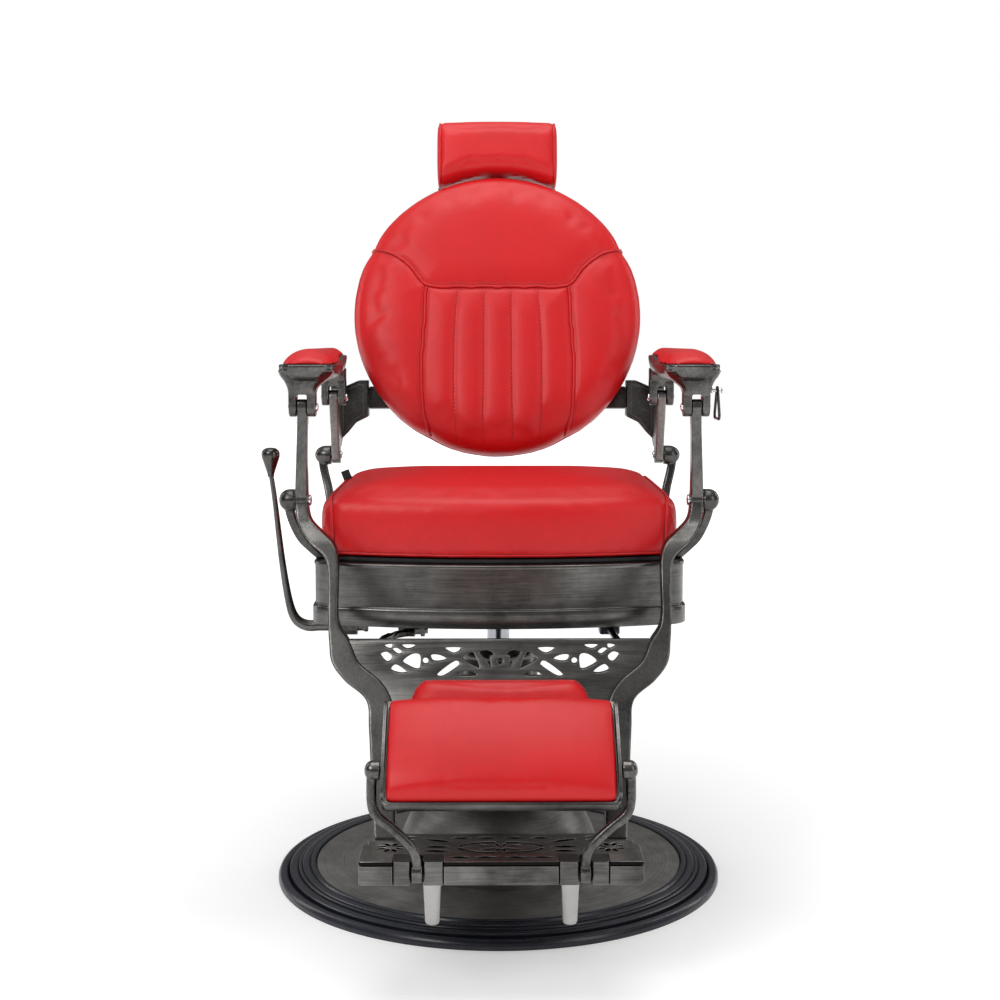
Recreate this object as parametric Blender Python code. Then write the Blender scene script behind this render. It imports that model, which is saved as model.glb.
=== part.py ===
"""Hydraulic barber chair, modelled in Blender as separate sub-parts, in metres, +Z up.

The origin is the centre of the base on the floor. The sitter faces -Y and +X is the sitter's left.
Sides are named as seen from in front, so "left" is -X. Every moving body hangs from an empty that
lies on its joint's axis.
"""

import math

import bmesh
import bpy
from mathutils import Matrix, Vector, geometry

MM = 0.001
GAP = 0.3 * MM  # between pieces that touch in the real chair
RUNNING_GAP = 0.4 * MM  # round a pin or a shaft
SIDES = {"left": -1, "right": 1}

# Base and pump
BASE_RADIUS = 0.350
PLATE_RADIUS = 0.2905
PLATE_FLANGE_RADIUS = 0.325
PLATE_TOP = 0.0225
PUMP_RADIUS = 0.0625
PUMP_TOP = 0.360
PISTON_RADIUS = 0.0175
PISTON_BOTTOM = 0.105
PISTON_TOP = 0.470
PEDAL_PIVOT = Vector((0, 0.092, 0.105))

# Seat
SEAT_HALF_WIDTH = 0.267
SEAT_FRONT = -0.270
SEAT_BACK = 0.190
SEAT_FRONT_RADIUS = 0.756
SEAT_CORNER = 0.036
APRON_BOTTOM = 0.4396
APRON_BEAD = 0.4668
APRON_TOP = 0.530
CUSHION_BOTTOM = 0.5370
CUSHION_CROWN = 0.6485
MOUNT_BOTTOM = 0.4785
MOUNT_TOP = 0.4985
RAIL_Y = 0.130

# Recline linkage: two cranks of equal horizontal throw carry each armrest and keep it level
FRONT_PIVOT = Vector((0, -0.210, 0.617))
REAR_PIVOT = Vector((0, 0.185, 0.654))
ARM_PIN_HEIGHT = 0.752
CRANK_LEAN = 0.0357  # how far each crank's upper pin lies ahead of its pivot
ARM_FRONT_PIN = Vector((0, FRONT_PIVOT.y - CRANK_LEAN, ARM_PIN_HEIGHT))
ARM_REAR_PIN = Vector((0, REAR_PIVOT.y - CRANK_LEAN, ARM_PIN_HEIGHT))
PIVOT_BOLT_RADIUS = 5 * MM
ARM_PIN_RADIUS = 4 * MM
OPEN_PIVOT_RADIUS = 6.5 * MM  # hole in the leg casting, wide enough for the linkage's play
LEG_OUTER_AT_PIN = 0.2848
LEG_INNER_AT_PIN = 0.2708
REAR_LINK_OUTER = 0.2780
REAR_LINK_INNER = 0.2640
FRONT_CLEVIS = (0.2585, 0.2960)  # inner and outer faces
REAR_CLEVIS = (0.2508, 0.2905)

# Back and headrest, laid out in the leaning plane of the back
BACK_CENTRE = Vector((0, 0.225, 0.888))
BACK_LEAN = math.radians(16)
BACK_RADIUS = 0.2455
HEADREST_HALF_WIDTH = 0.105
HEADREST_TOP = 0.346
HEADREST_ARC_RADIUS = 0.251

# Leg frame
LEG_SLOPE_TOP = 0.440
LEG_SLOPE = 0.52  # how far forward the legs go for each metre down
PANEL_TOP = 0.432
PANEL_BOTTOM = 0.235
PANEL_HALF_THICKNESS = 4.5 * MM
FOOT_PLATE_TOP = 0.189
FOOT_PLATE_BOTTOM = 0.158
FOOT_PLATE_FRONT = -0.5335
FOOT_BLOCK_INNER = 0.073
FOOT_BLOCK_OUTER = 0.138
FOOT_BLOCK_BACK = -0.500
FOLD_PIVOT = Vector((0, -0.5215, 0.1735))
FOOTREST_ARM_X = 0.107

# Flip-over footrest
PAD_LOW_EDGE = Vector((0, -0.5388, 0.2665))
PAD_SLOPE = math.atan2(0.103, 0.106)
PAD_LENGTH = 0.148
PAD_HALF_WIDTH = 0.1462
TRAY_HALF_WIDTH = 0.152
TILT_PIVOT = Vector((0, -0.520, 0.304))

# Recline lock and its lever
LOCK_X = -0.128
LOCK_Z = 0.4195
LOCK_PIN_Y = FRONT_PIVOT.y + (FRONT_PIVOT.z - LOCK_Z) * CRANK_LEAN / (ARM_PIN_HEIGHT - FRONT_PIVOT.z)
LEVER_AXIS = Vector((0, -0.130, 0.4205))
LEVER_SHAFT_RADIUS = 8.5 * MM

FINISHES = {  # colour, metallic, roughness
    "pewter": ((0.150, 0.142, 0.132), 0.9, 0.42),
    "dark_pewter": ((0.070, 0.066, 0.062), 0.8, 0.50),
    "chrome": ((0.80, 0.80, 0.82), 1.0, 0.12),
    "satin_aluminium": ((0.55, 0.54, 0.52), 1.0, 0.35),
    "steel": ((0.35, 0.35, 0.36), 1.0, 0.35),
    "leather": ((0.640, 0.012, 0.016), 0.0, 0.42),
    "rubber": ((0.012, 0.013, 0.019), 0.0, 0.45),
    "black_board": ((0.010, 0.010, 0.011), 0.0, 0.60),
}

bodies = {}


# ---------------------------------------------------------------- scene and nodes


def clear_scene():
    for obj in list(bpy.data.objects):
        bpy.data.objects.remove(obj, do_unlink=True)


def add_body(name, pivot, parent=None):
    """An empty on the joint's axis, which carries every node of a moving body."""
    empty = bpy.data.objects.new(f"{name}_axis", None)
    empty.empty_display_size = 0.05
    bpy.context.scene.collection.objects.link(empty)
    if parent:
        empty.parent = bodies[parent]["empty"]
        empty.location = Vector(pivot) - bodies[parent]["pivot"]
    else:
        empty.location = pivot
    bodies[name] = {"empty": empty, "pivot": Vector(pivot)}


def principled(name, finish):
    colour, metallic, roughness = FINISHES[finish]
    material = bpy.data.materials.new(f"{name}_{finish}")
    material.use_nodes = True
    shader = material.node_tree.nodes["Principled BSDF"]
    shader.inputs["Base Color"].default_value = (*colour, 1)
    shader.inputs["Metallic"].default_value = metallic
    shader.inputs["Roughness"].default_value = roughness
    material.diffuse_color = (*colour, 1)
    return material


def add_node(name, shape, finish, body, smooth_below=35):
    """Turns a shape in world coordinates into a named object of a body."""
    bmesh.ops.remove_doubles(shape, verts=shape.verts, dist=1e-6)
    bmesh.ops.recalc_face_normals(shape, faces=shape.faces)
    shape.transform(Matrix.Translation(-bodies[body]["pivot"]))
    mesh = bpy.data.meshes.new(name)
    shape.to_mesh(mesh)
    shape.free()
    mesh.shade_smooth()
    mesh.set_sharp_from_angle(angle=math.radians(smooth_below))
    mesh.materials.append(principled(name, finish))
    obj = bpy.data.objects.new(name, mesh)
    obj.parent = bodies[body]["empty"]
    bpy.context.scene.collection.objects.link(obj)
    return obj


# ---------------------------------------------------------------- outlines


def circle(centre, radius, steps=16):
    u, v = centre
    turn = 2 * math.pi / steps
    return [(u + radius * math.cos(i * turn), v + radius * math.sin(i * turn)) for i in range(steps)]


def hull_outline(circles, steps=16):
    """The outline of a belt stretched round some circles, each (u, v, radius)."""
    points = [point for u, v, radius in circles for point in circle((u, v), radius, steps)]
    return [points[i] for i in geometry.convex_hull_2d(points)]


def rectangle(low_u, high_u, low_v, high_v):
    return [(low_u, low_v), (high_u, low_v), (high_u, high_v), (low_u, high_v)]


def smooth_rows(rows, steps):
    """Rows of numbers with a Catmull-Rom curve through them."""
    rows = [tuple(row) for row in rows]
    ends = [rows[0], *rows, rows[-1]]
    result = []
    for before, start, end, after in zip(ends, ends[1:], ends[2:], ends[3:]):
        for step in range(steps):
            t = step / steps
            row = []
            for a, b, c, d in zip(before, start, end, after):
                linear = (c - a) * t
                square = (2 * a - 5 * b + 4 * c - d) * t**2
                cube = (3 * b - a - 3 * c + d) * t**3
                row.append(0.5 * (2 * b + linear + square + cube))
            result.append(tuple(row))
    return [*result, rows[-1]]


def seat_outline(inset=0.0, corner_steps=5, front_steps=10):
    """The seat's plan: a bowed front, straight sides and rounded corners."""
    half_width = SEAT_HALF_WIDTH - inset
    back = SEAT_BACK - inset
    corner = SEAT_CORNER
    corner_x = half_width - corner

    def front_y(x):
        return SEAT_FRONT + inset + x * x / (2 * SEAT_FRONT_RADIUS)

    points = []
    for i in range(front_steps + 1):
        x = -corner_x + 2 * corner_x * i / front_steps
        points.append((x, front_y(x)))
    corner_y = front_y(corner_x) + corner
    for i in range(1, corner_steps + 1):
        angle = math.pi / 2 * i / corner_steps
        points.append((corner_x + corner * math.sin(angle), corner_y - corner * math.cos(angle)))
    for i in range(corner_steps + 1):
        angle = math.pi / 2 * i / corner_steps
        points.append((corner_x + corner * math.cos(angle), back - corner + corner * math.sin(angle)))
    right_side = points[front_steps + 1 :]
    points += [(-x, y) for x, y in reversed(right_side)]
    return points


# ---------------------------------------------------------------- solids


def loft(rings, closed_path=False):
    """A skin over rings of equal length, capped at both ends unless the path closes on itself."""
    shape = bmesh.new()
    rows = [[shape.verts.new(point) for point in ring] for ring in rings]
    pairs = list(zip(rows, rows[1:]))
    if closed_path:
        pairs.append((rows[-1], rows[0]))
    for low, high in pairs:
        for i in range(len(low)):
            j = (i + 1) % len(low)
            shape.faces.new((low[i], low[j], high[j], high[i]))
    if not closed_path:
        shape.faces.new(rows[0])
        shape.faces.new(rows[-1])
    bmesh.ops.recalc_face_normals(shape, faces=shape.faces)
    return shape


def prism(outline, low, high, place, holes=()):
    """An outline with holes, extruded between two depths. place(u, v, depth) gives the point in space."""
    shape = loft([[place(u, v, depth) for u, v in outline] for depth in (low, high)])
    if holes:
        low, high = sorted((low, high))
        shape = pierce(shape, holes, low - 1 * MM, high + 1 * MM, place)
    return shape


def across(y, z, x):
    return (x, y, z)


def upright(x, y, z):
    return (x, y, z)


def facing_front(x, z, y):
    return (x, y, z)


def lathe(profile, steps, centre=(0, 0, 0), axis="Z", is_ring=False):
    """A turned shape. The profile is (radius, position along the axis), from axis to axis or round a ring."""
    centre = Vector(centre)
    frame = {
        "X": (Vector((0, 1, 0)), Vector((0, 0, 1)), Vector((1, 0, 0))),
        "Y": (Vector((0, 0, 1)), Vector((1, 0, 0)), Vector((0, 1, 0))),
        "Z": (Vector((1, 0, 0)), Vector((0, 1, 0)), Vector((0, 0, 1))),
        "BACK": (Vector((1, 0, 0)), back_up(), back_out()),
    }
    side, up, along = frame[axis]
    shape = bmesh.new()
    rows = []
    for radius, position in profile:
        if radius < 1e-7:
            tip = shape.verts.new(centre + along * position)
            rows.append([tip] * steps)
            continue
        row = []
        for i in range(steps):
            angle = 2 * math.pi * i / steps
            spoke = side * math.cos(angle) + up * math.sin(angle)
            row.append(shape.verts.new(centre + spoke * radius + along * position))
        rows.append(row)
    pairs = list(zip(rows, rows[1:]))
    if is_ring:
        pairs.append((rows[-1], rows[0]))
    for low, high in pairs:
        for i in range(steps):
            j = (i + 1) % steps
            corners = list(dict.fromkeys((low[i], low[j], high[j], high[i])))
            if len(corners) > 2:
                shape.faces.new(corners)
    bmesh.ops.recalc_face_normals(shape, faces=shape.faces)
    return shape


def cylinder(radius, low, high, centre=(0, 0, 0), axis="Z", steps=16):
    return lathe([(0, low), (radius, low), (radius, high), (0, high)], steps, centre, axis)


def rounded_box(low, high, chamfer=0.0):
    shape = bmesh.new()
    bmesh.ops.create_cube(shape, size=1)
    low = Vector(low)
    size = Vector(high) - low
    for vert in shape.verts:
        vert.co = [low[k] + (vert.co[k] + 0.5) * size[k] for k in range(3)]
    if chamfer:
        bmesh.ops.bevel(shape, geom=shape.edges, offset=chamfer, segments=1, affect="EDGES", profile=0.5)
    return shape


def bar(path, sections, sides=8):
    """A bar along a smooth path. Each section is (half width across X, half depth), turned to the path."""
    rows = smooth_rows([(*point, *section) for point, section in zip(path, sections)], 2)
    points = [Vector(row[:3]) for row in rows]
    rings = []
    for i, row in enumerate(rows):
        ahead = points[min(i + 1, len(points) - 1)]
        behind = points[max(i - 1, 0)]
        tangent = (ahead - behind).normalized()
        depth_axis = Vector((0, 1, 0))
        if abs(tangent.y) > 0.7:
            depth_axis = Vector((0, 0, 1))
        wide = tangent.cross(depth_axis).normalized()
        deep = wide.cross(tangent).normalized()
        ring = []
        for k in range(sides):
            angle = 2 * math.pi * (k + 0.5) / sides
            ring.append(points[i] + wide * row[3] * math.cos(angle) + deep * row[4] * math.sin(angle))
        rings.append(ring)
    return loft(rings)


def combine(shape, tool, operation):
    """A Boolean of two shapes, by Blender's exact solver."""
    objects = []
    for part in (shape, tool):
        mesh = bpy.data.meshes.new("boolean_step")
        part.to_mesh(mesh)
        part.free()
        obj = bpy.data.objects.new("boolean_step", mesh)
        bpy.context.scene.collection.objects.link(obj)
        objects.append(obj)
    modifier = objects[0].modifiers.new("boolean", "BOOLEAN")
    modifier.object = objects[1]
    modifier.operation = operation
    modifier.solver = "EXACT"
    result = bmesh.new()
    result.from_object(objects[0], bpy.context.evaluated_depsgraph_get())
    for obj in objects:
        bpy.data.objects.remove(obj, do_unlink=True)
    return result


def union(shape, *others):
    for other in others:
        shape = combine(shape, other, "UNION")
    return shape


def cut(shape, *tools):
    for tool in tools:
        shape = combine(shape, tool, "DIFFERENCE")
    return shape


def pierce(shape, loops, low, high, place):
    """Cuts many openings, which don't touch each other, in one go."""
    tool = bmesh.new()
    for loop in loops:
        opening = loft([[place(u, v, depth) for u, v in loop] for depth in (low, high)])
        mesh = bpy.data.meshes.new("opening")
        opening.to_mesh(mesh)
        opening.free()
        tool.from_mesh(mesh)
    return cut(shape, tool)


def casting(rows, side, steps=2):
    """A curved casting from rows of (height, y, outer x, inner x, half depth), cut level at each height."""
    rings = []
    for z, y, outer, inner, half_depth in smooth_rows(rows, steps):
        middle = (outer + inner) / 2
        half = abs(outer - inner) / 2
        chamfer = 0.35 * min(half, half_depth)
        ring = [
            (middle + sx * (half - cx), y + sy * (half_depth - cy))
            for sx, sy, cx, cy in (
                (1, 1, chamfer, 0),
                (1, 1, 0, chamfer),
                (1, -1, 0, chamfer),
                (1, -1, chamfer, 0),
                (-1, -1, chamfer, 0),
                (-1, -1, 0, chamfer),
                (-1, 1, 0, chamfer),
                (-1, 1, chamfer, 0),
            )
        ]
        rings.append([(side * x, y, z) for x, y in ring])
    return loft(rings)


# ---------------------------------------------------------------- the back's own plane


def back_up():
    return Vector((0, math.sin(BACK_LEAN), math.cos(BACK_LEAN)))


def back_out():
    return Vector((0, -math.cos(BACK_LEAN), math.sin(BACK_LEAN)))


def on_back(x, up, out):
    return BACK_CENTRE + Vector((x, 0, 0)) + back_up() * up + back_out() * out


# ---------------------------------------------------------------- base and pump


def build_base():
    plate = [
        (0, 0),
        (PLATE_FLANGE_RADIUS, 0),
        (PLATE_FLANGE_RADIUS, 8 * MM),
        (PLATE_RADIUS, 8 * MM),
        (PLATE_RADIUS, PLATE_TOP - 1.5 * MM),
        (PLATE_RADIUS - 2 * MM, PLATE_TOP),
        (0, PLATE_TOP),
    ]
    add_node("base_plate", lathe(plate, 48), "pewter", "base")
    inner = PLATE_RADIUS + 0.7 * MM
    ring = [
        (inner, 8.3 * MM),
        (inner, 24.5 * MM),
        (inner + 7 * MM, 25.5 * MM),
        (inner + 12 * MM, 22.0 * MM),
        (inner + 21 * MM, 21.0 * MM),
        (inner + 25 * MM, 17.5 * MM),
        (inner + 35 * MM, 16.5 * MM),
        (inner + 39 * MM, 13.0 * MM),
        (BASE_RADIUS - 7 * MM, 11.5 * MM),
        (BASE_RADIUS, 6 * MM),
        (BASE_RADIUS, 0),
        (PLATE_FLANGE_RADIUS + GAP, 0),
        (PLATE_FLANGE_RADIUS + GAP, 8.3 * MM),
    ]
    add_node("base_ring", lathe(ring, 48, is_ring=True), "rubber", "base")


def build_pump():
    outer = [
        (0.165, PLATE_TOP + GAP),
        (0.160, 0.045),
        (0.151, 0.070),
        (0.135, 0.100),
        (0.108, 0.128),
        (0.066, 0.150),
    ]
    wall = 3 * MM
    inner = [(radius - wall, max(z - wall, PLATE_TOP + GAP)) for radius, z in outer[:-1]]
    inner.append((outer[-1][0], outer[-1][1] - 1.2 * wall))
    cover = lathe(outer + inner[::-1], 32, is_ring=True)
    slot = rounded_box((-0.017, 0.100, 0.055), (0.017, 0.185, 0.124))
    add_node("pump_cover", cut(cover, slot), "pewter", "base")

    housing = lathe(
        [
            (0, PLATE_TOP + GAP),
            (0.085, PLATE_TOP + GAP),
            (0.085, 0.034),
            (PUMP_RADIUS, 0.036),
            (PUMP_RADIUS, PUMP_TOP - 5 * MM),
            (PUMP_RADIUS - 5 * MM, PUMP_TOP),
            (PISTON_RADIUS + RUNNING_GAP, PUMP_TOP),
            (PISTON_RADIUS + RUNNING_GAP, PISTON_BOTTOM - 5 * MM),
            (0, PISTON_BOTTOM - 5 * MM),
        ],
        32,
    )
    pivot = (PEDAL_PIVOT.y, PEDAL_PIVOT.z)
    ear = hull_outline([(0.050, 0.085, 8 * MM), (0.050, 0.125, 8 * MM), (*pivot, 13 * MM)])
    hole = circle(pivot, 5 * MM + RUNNING_GAP, 12)
    for low, high in ((-0.022, -0.012), (0.012, 0.022)):
        housing = union(housing, prism(ear, low, high, across, [hole]))
    add_node("pump_housing", housing, "dark_pewter", "base")

    arm = bar(
        [(0, 0.092, 0.105), (0, 0.150, 0.106), (0, 0.230, 0.122), (0, 0.300, 0.148), (0, 0.330, 0.155)],
        [(0.011, 0.0075)] * 3 + [(0.012, 0.0065)] * 2,
    )
    boss = cylinder(12 * MM, -0.0115, 0.0115, (0, *pivot), "X")
    pin = cylinder(5 * MM, -0.0235, 0.0235, (0, *pivot), "X", 12)
    tread = rounded_box((-0.045, 0.315, 0.150), (0.045, 0.375, 0.159), 2 * MM)
    add_node("pump_pedal", union(arm, boss, pin, tread), "dark_pewter", "pedal")
    pad = rounded_box((-0.043, 0.335, 0.159 + GAP), (0.043, 0.373, 0.169), 3 * MM)
    add_node("pedal_pad", pad, "rubber", "pedal")

    piston = [
        (0, PISTON_BOTTOM),
        (PISTON_RADIUS, PISTON_BOTTOM),
        (PISTON_RADIUS, PISTON_TOP),
        (0, PISTON_TOP),
    ]
    add_node("piston", lathe(piston, 28), "chrome", "piston")


# ---------------------------------------------------------------- seat


def build_seat_frame():
    wide = SEAT_HALF_WIDTH - 6 * MM - GAP
    rail_end = RAIL_Y + 0.018
    window_end = RAIL_Y - 0.018
    windows = [
        rectangle(-0.240, -0.143, -window_end, window_end),
        rectangle(-0.113, -0.060, -window_end, window_end),
        rectangle(0.060, 0.113, -window_end, window_end),
        rectangle(0.143, 0.240, -window_end, window_end),
    ]
    frame = prism(rectangle(-wide, wide, -rail_end, rail_end), MOUNT_BOTTOM, MOUNT_TOP, upright, windows)
    socket_radius = PISTON_RADIUS + RUNNING_GAP
    hub = lathe(
        [
            (0, PISTON_TOP + GAP),
            (socket_radius, PISTON_TOP + GAP),
            (socket_radius, 0.430),
            (0.036, 0.430),
            (0.042, 0.436),
            (0.042, 0.487),
            (0, 0.487),
        ],
        32,
    )
    add_node("seat_mount", union(frame, hub), "dark_pewter", "seat")

    wall = 6 * MM
    ledge = 22 * MM
    flare = -3.5 * MM
    section = [
        (flare, APRON_BOTTOM),
        (flare, APRON_BEAD - 2 * MM),
        (0, APRON_BEAD),
        (0, APRON_TOP - 1.5 * MM),
        (1.5 * MM, APRON_TOP),
        (ledge, APRON_TOP),
        (ledge, APRON_TOP - 3 * MM),
        (wall, APRON_TOP - 3 * MM),
        (wall, APRON_BOTTOM),
    ]
    rings = [[(x, y, z) for x, y in seat_outline(inset)] for inset, z in section]
    add_node("apron", loft(rings, closed_path=True), "pewter", "seat")
    board = prism(seat_outline(19 * MM), APRON_TOP + GAP, CUSHION_BOTTOM - GAP, upright)
    add_node("seat_board", board, "black_board", "seat")

    levels = [
        (15 * MM, CUSHION_BOTTOM),
        (7 * MM, 0.550),
        (5 * MM, 0.565),
        (6 * MM, 0.600),
        (12 * MM, 0.615),
        (24 * MM, 0.626),
        (60 * MM, 0.638),
        (120 * MM, 0.645),
        (180 * MM, CUSHION_CROWN),
    ]
    rings = [[(x, y, z) for x, y in seat_outline(inset)] for inset, z in levels]
    add_node("seat_cushion", loft(rings), "leather", "seat")


def build_pivot_brackets():
    """Arms that stand on the apron's ledge and end in ball bosses, with the bolts the castings turn on."""
    places = {
        "front": {
            "pivot": FRONT_PIVOT,
            "ball": (0.2938, 0.3169),
            "casting_inner": 0.2735,
            "head": 8 * MM,
            "rows": [
                (0.6200, -0.210, 0.3085, 0.2955, 0.0075),
                (0.600, -0.206, 0.3080, 0.2950, 0.008),
                (0.578, -0.198, 0.3020, 0.2885, 0.009),
                (0.557, -0.189, 0.2925, 0.2775, 0.010),
                (0.543, -0.184, 0.2800, 0.2650, 0.011),
                (APRON_TOP + GAP, -0.182, 0.2660, 0.2500, 0.012),
            ],
        },
        "rear": {
            "pivot": REAR_PIVOT,
            "ball": (0.2790, 0.3070),
            "casting_inner": REAR_LINK_INNER,
            "head": 6 * MM,
            "rows": [
                (0.657, 0.185, 0.3025, 0.2880, 0.0075),
                (0.630, 0.183, 0.2985, 0.2850, 0.008),
                (0.600, 0.176, 0.2910, 0.2775, 0.009),
                (0.570, 0.162, 0.2845, 0.2705, 0.010),
                (0.548, 0.148, 0.2770, 0.2635, 0.011),
                (APRON_TOP + GAP, 0.140, 0.2660, 0.2500, 0.012),
            ],
        },
    }
    ball_radius = 15 * MM
    for end, place in places.items():
        pivot = place["pivot"]
        head_radius = place["head"]
        inner, outer = place["ball"]
        for name, side in SIDES.items():
            ball = lathe(
                [
                    (0, side * inner),
                    (ball_radius, side * inner),
                    (ball_radius, side * (inner + 8 * MM)),
                    (0.86 * ball_radius, side * (outer - 5 * MM)),
                    (0.5 * ball_radius, side * (outer - 1 * MM)),
                    (0, side * outer),
                ],
                20,
                pivot,
                "X",
            )
            bracket = union(casting(place["rows"], side), ball)
            socket = cylinder(
                PIVOT_BOLT_RADIUS + GAP,
                *sorted((side * (inner - 5 * MM), side * (inner + 12 * MM))),
                pivot,
                "X",
                14,
            )
            add_node(f"{end}_bracket_{name}", cut(bracket, socket), "dark_pewter", "seat")
            face = place["casting_inner"] - GAP
            bolt = [
                (0, side * (inner + 11 * MM)),
                (PIVOT_BOLT_RADIUS, side * (inner + 11 * MM)),
                (PIVOT_BOLT_RADIUS, side * face),
                (head_radius, side * face),
                (head_radius, side * (face - 2 * MM)),
                (0.7 * head_radius, side * (face - 3.5 * MM)),
                (0, side * (face - 3.5 * MM)),
            ]
            add_node(f"{end}_pivot_bolt_{name}", lathe(bolt, 14, pivot, "X"), "chrome", "seat")


# ---------------------------------------------------------------- recline lock and lever


def build_lock():
    centre = (LOCK_X, 0, LOCK_Z)
    bore = 6 * MM + RUNNING_GAP
    tube = lathe(
        [(0, 0.080), (bore, 0.080), (bore, -0.118), (0.0125, -0.118), (0.0125, 0.090), (0, 0.090)],
        20,
        centre,
        "Y",
    )
    add_node("lock_cylinder", tube, "steel", "seat")
    clamp = hull_outline(
        [(LOCK_X, LOCK_Z, 0.0165), (LOCK_X - 0.012, 0.474, 4 * MM), (LOCK_X + 0.012, 0.474, 4 * MM)]
    )
    clamp_hole = circle((LOCK_X, LOCK_Z), 0.0125 + GAP, 20)
    add_node("lock_clamp", prism(clamp, 0.020, 0.050, facing_front, [clamp_hole]), "dark_pewter", "seat")

    fork_base = LOCK_PIN_Y + 0.012
    rod = cylinder(6 * MM, fork_base + 2 * MM, 0.072, centre, "Y")
    base = rounded_box((LOCK_X - 0.018, fork_base, 0.409), (LOCK_X + 0.018, fork_base + 8 * MM, 0.430))
    fork = union(base, rod)
    for side in SIDES.values():
        middle = LOCK_X + side * 15 * MM
        prong = rounded_box(
            (middle - 3 * MM, LOCK_PIN_Y - 0.012, 0.4105), (middle + 3 * MM, fork_base + 2 * MM, 0.4285)
        )
        fork = union(fork, prong)
    pin = cylinder(ARM_PIN_RADIUS, LOCK_X - 0.0215, LOCK_X + 0.0215, (0, LOCK_PIN_Y, LOCK_Z), "X")
    nut = cylinder(7 * MM, LOCK_X + 0.0175, LOCK_X + 0.0225, (0, LOCK_PIN_Y, LOCK_Z), "X", 6)
    add_node("lock_rod", union(fork, pin, nut), "steel", "lock_rod")


def build_lever():
    axis = (0, LEVER_AXIS.y, LEVER_AXIS.z)
    block = hull_outline(
        [
            (LEVER_AXIS.y, LEVER_AXIS.z, 0.0145),
            (LEVER_AXIS.y - 0.012, 0.474, 4 * MM),
            (LEVER_AXIS.y + 0.012, 0.474, 4 * MM),
        ]
    )
    hole = circle((LEVER_AXIS.y, LEVER_AXIS.z), LEVER_SHAFT_RADIUS + RUNNING_GAP, 20)
    add_node("lever_bearing", prism(block, -0.250, -0.212, across, [hole]), "dark_pewter", "seat")
    y = LEVER_AXIS.y
    z = LEVER_AXIS.z
    rod = bar(
        [
            (-0.3385, y, 0.6432),
            (-0.3336, y, 0.609),
            (-0.3240, y, 0.519),
            (-0.3146, y, 0.458),
            (-0.3050, y, 0.431),
            (-0.2890, y, z),
            (-0.2700, y, z),
        ],
        [(4 * MM, 4 * MM), (4 * MM, 4 * MM), (5 * MM, 5 * MM), (6 * MM, 6 * MM), (7.5 * MM, 7 * MM)]
        + [(8.5 * MM, 8.5 * MM)] * 2,
        10,
    )
    shaft = cylinder(LEVER_SHAFT_RADIUS, -0.276, -0.196, axis, "X", 20)
    crank = prism(
        hull_outline([(y, z, 0.010), (y + 0.016, z + 0.026, 6 * MM)]), -0.202, -0.196, across
    )
    add_node("recline_lever", union(shaft, rod, crank), "pewter", "recline_lever")
    knob = [
        (0, 0.6440),
        (0.0046, 0.6440),
        (0.0065, 0.6530),
        (0.0105, 0.6650),
        (0.0135, 0.6750),
        (0.0120, 0.6825),
        (0, 0.6875),
    ]
    add_node("lever_knob", lathe(knob, 20, (-0.339, y, 0)), "dark_pewter", "recline_lever")


# ---------------------------------------------------------------- back and headrest


def build_back():
    front = -30 * MM
    shell = [
        (0, front - 15 * MM),
        (BACK_RADIUS - 18 * MM, front - 15 * MM),
        (BACK_RADIUS - 10 * MM, front - 8 * MM),
        (BACK_RADIUS - 10 * MM, front),
        (0, front),
    ]
    add_node("back_shell", lathe(shell, 48, BACK_CENTRE, "BACK"), "black_board", "back")
    rear = front + GAP
    cushion = [
        (0, rear),
        (BACK_RADIUS - 12 * MM, rear),
        (BACK_RADIUS - 2 * MM, -18 * MM),
        (BACK_RADIUS, 0),
        (BACK_RADIUS - 2 * MM, 16 * MM),
        (BACK_RADIUS - 12 * MM, 31 * MM),
        (BACK_RADIUS - 32 * MM, 40 * MM),
        (0.55 * BACK_RADIUS, 46 * MM),
        (0, 48 * MM),
    ]
    add_node("back_cushion", lathe(cushion, 48, BACK_CENTRE, "BACK"), "leather", "back")
    crossbar = prism(
        rectangle(-0.2190, 0.2190, -0.150, -0.112), -0.0533, -0.0453, on_back
    )
    add_node("back_crossbar", crossbar, "dark_pewter", "back")

    pivot = (REAR_PIVOT.y, REAR_PIVOT.z)
    pin = (ARM_REAR_PIN.y, ARM_REAR_PIN.z)
    plate = [
        *arc(pivot, 14 * MM, 60, -150, 10),
        *arc(pin, 12 * MM, 200, 90, 6),
        (0.168, 0.764),
        (0.180, 0.784),
        (0.250, 0.788),
        (0.250, 0.700),
        (0.238, 0.682),
        (0.212, 0.668),
    ]
    holes = [
        circle(pivot, PIVOT_BOLT_RADIUS + RUNNING_GAP, 14),
        circle(pin, ARM_PIN_RADIUS + RUNNING_GAP, 14),
    ]
    hidden = REAR_LINK_INNER + 4 * MM
    web_outline = [
        (hidden, 0.676),
        (0.254, 0.690),
        (0.240, 0.707),
        (0.2195, 0.717),
        (0.2195, 0.778),
        (0.236, 0.778),
        (hidden, 0.764),
    ]
    for name, side in SIDES.items():
        depths = sorted((side * REAR_LINK_OUTER, side * REAR_LINK_INNER))
        link = prism(plate, *depths, across, holes)
        web = prism([(side * x, z) for x, z in web_outline], 0.214, 0.249, facing_front)
        add_node(f"back_bracket_{name}", union(link, web), "dark_pewter", "back")


def arc(centre, radius, start, end, steps):
    """Points on an arc, by angles in degrees."""
    points = []
    for i in range(steps + 1):
        angle = math.radians(start + (end - start) * i / steps)
        points.append((centre[0] + radius * math.cos(angle), centre[1] + radius * math.sin(angle)))
    return points


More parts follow.
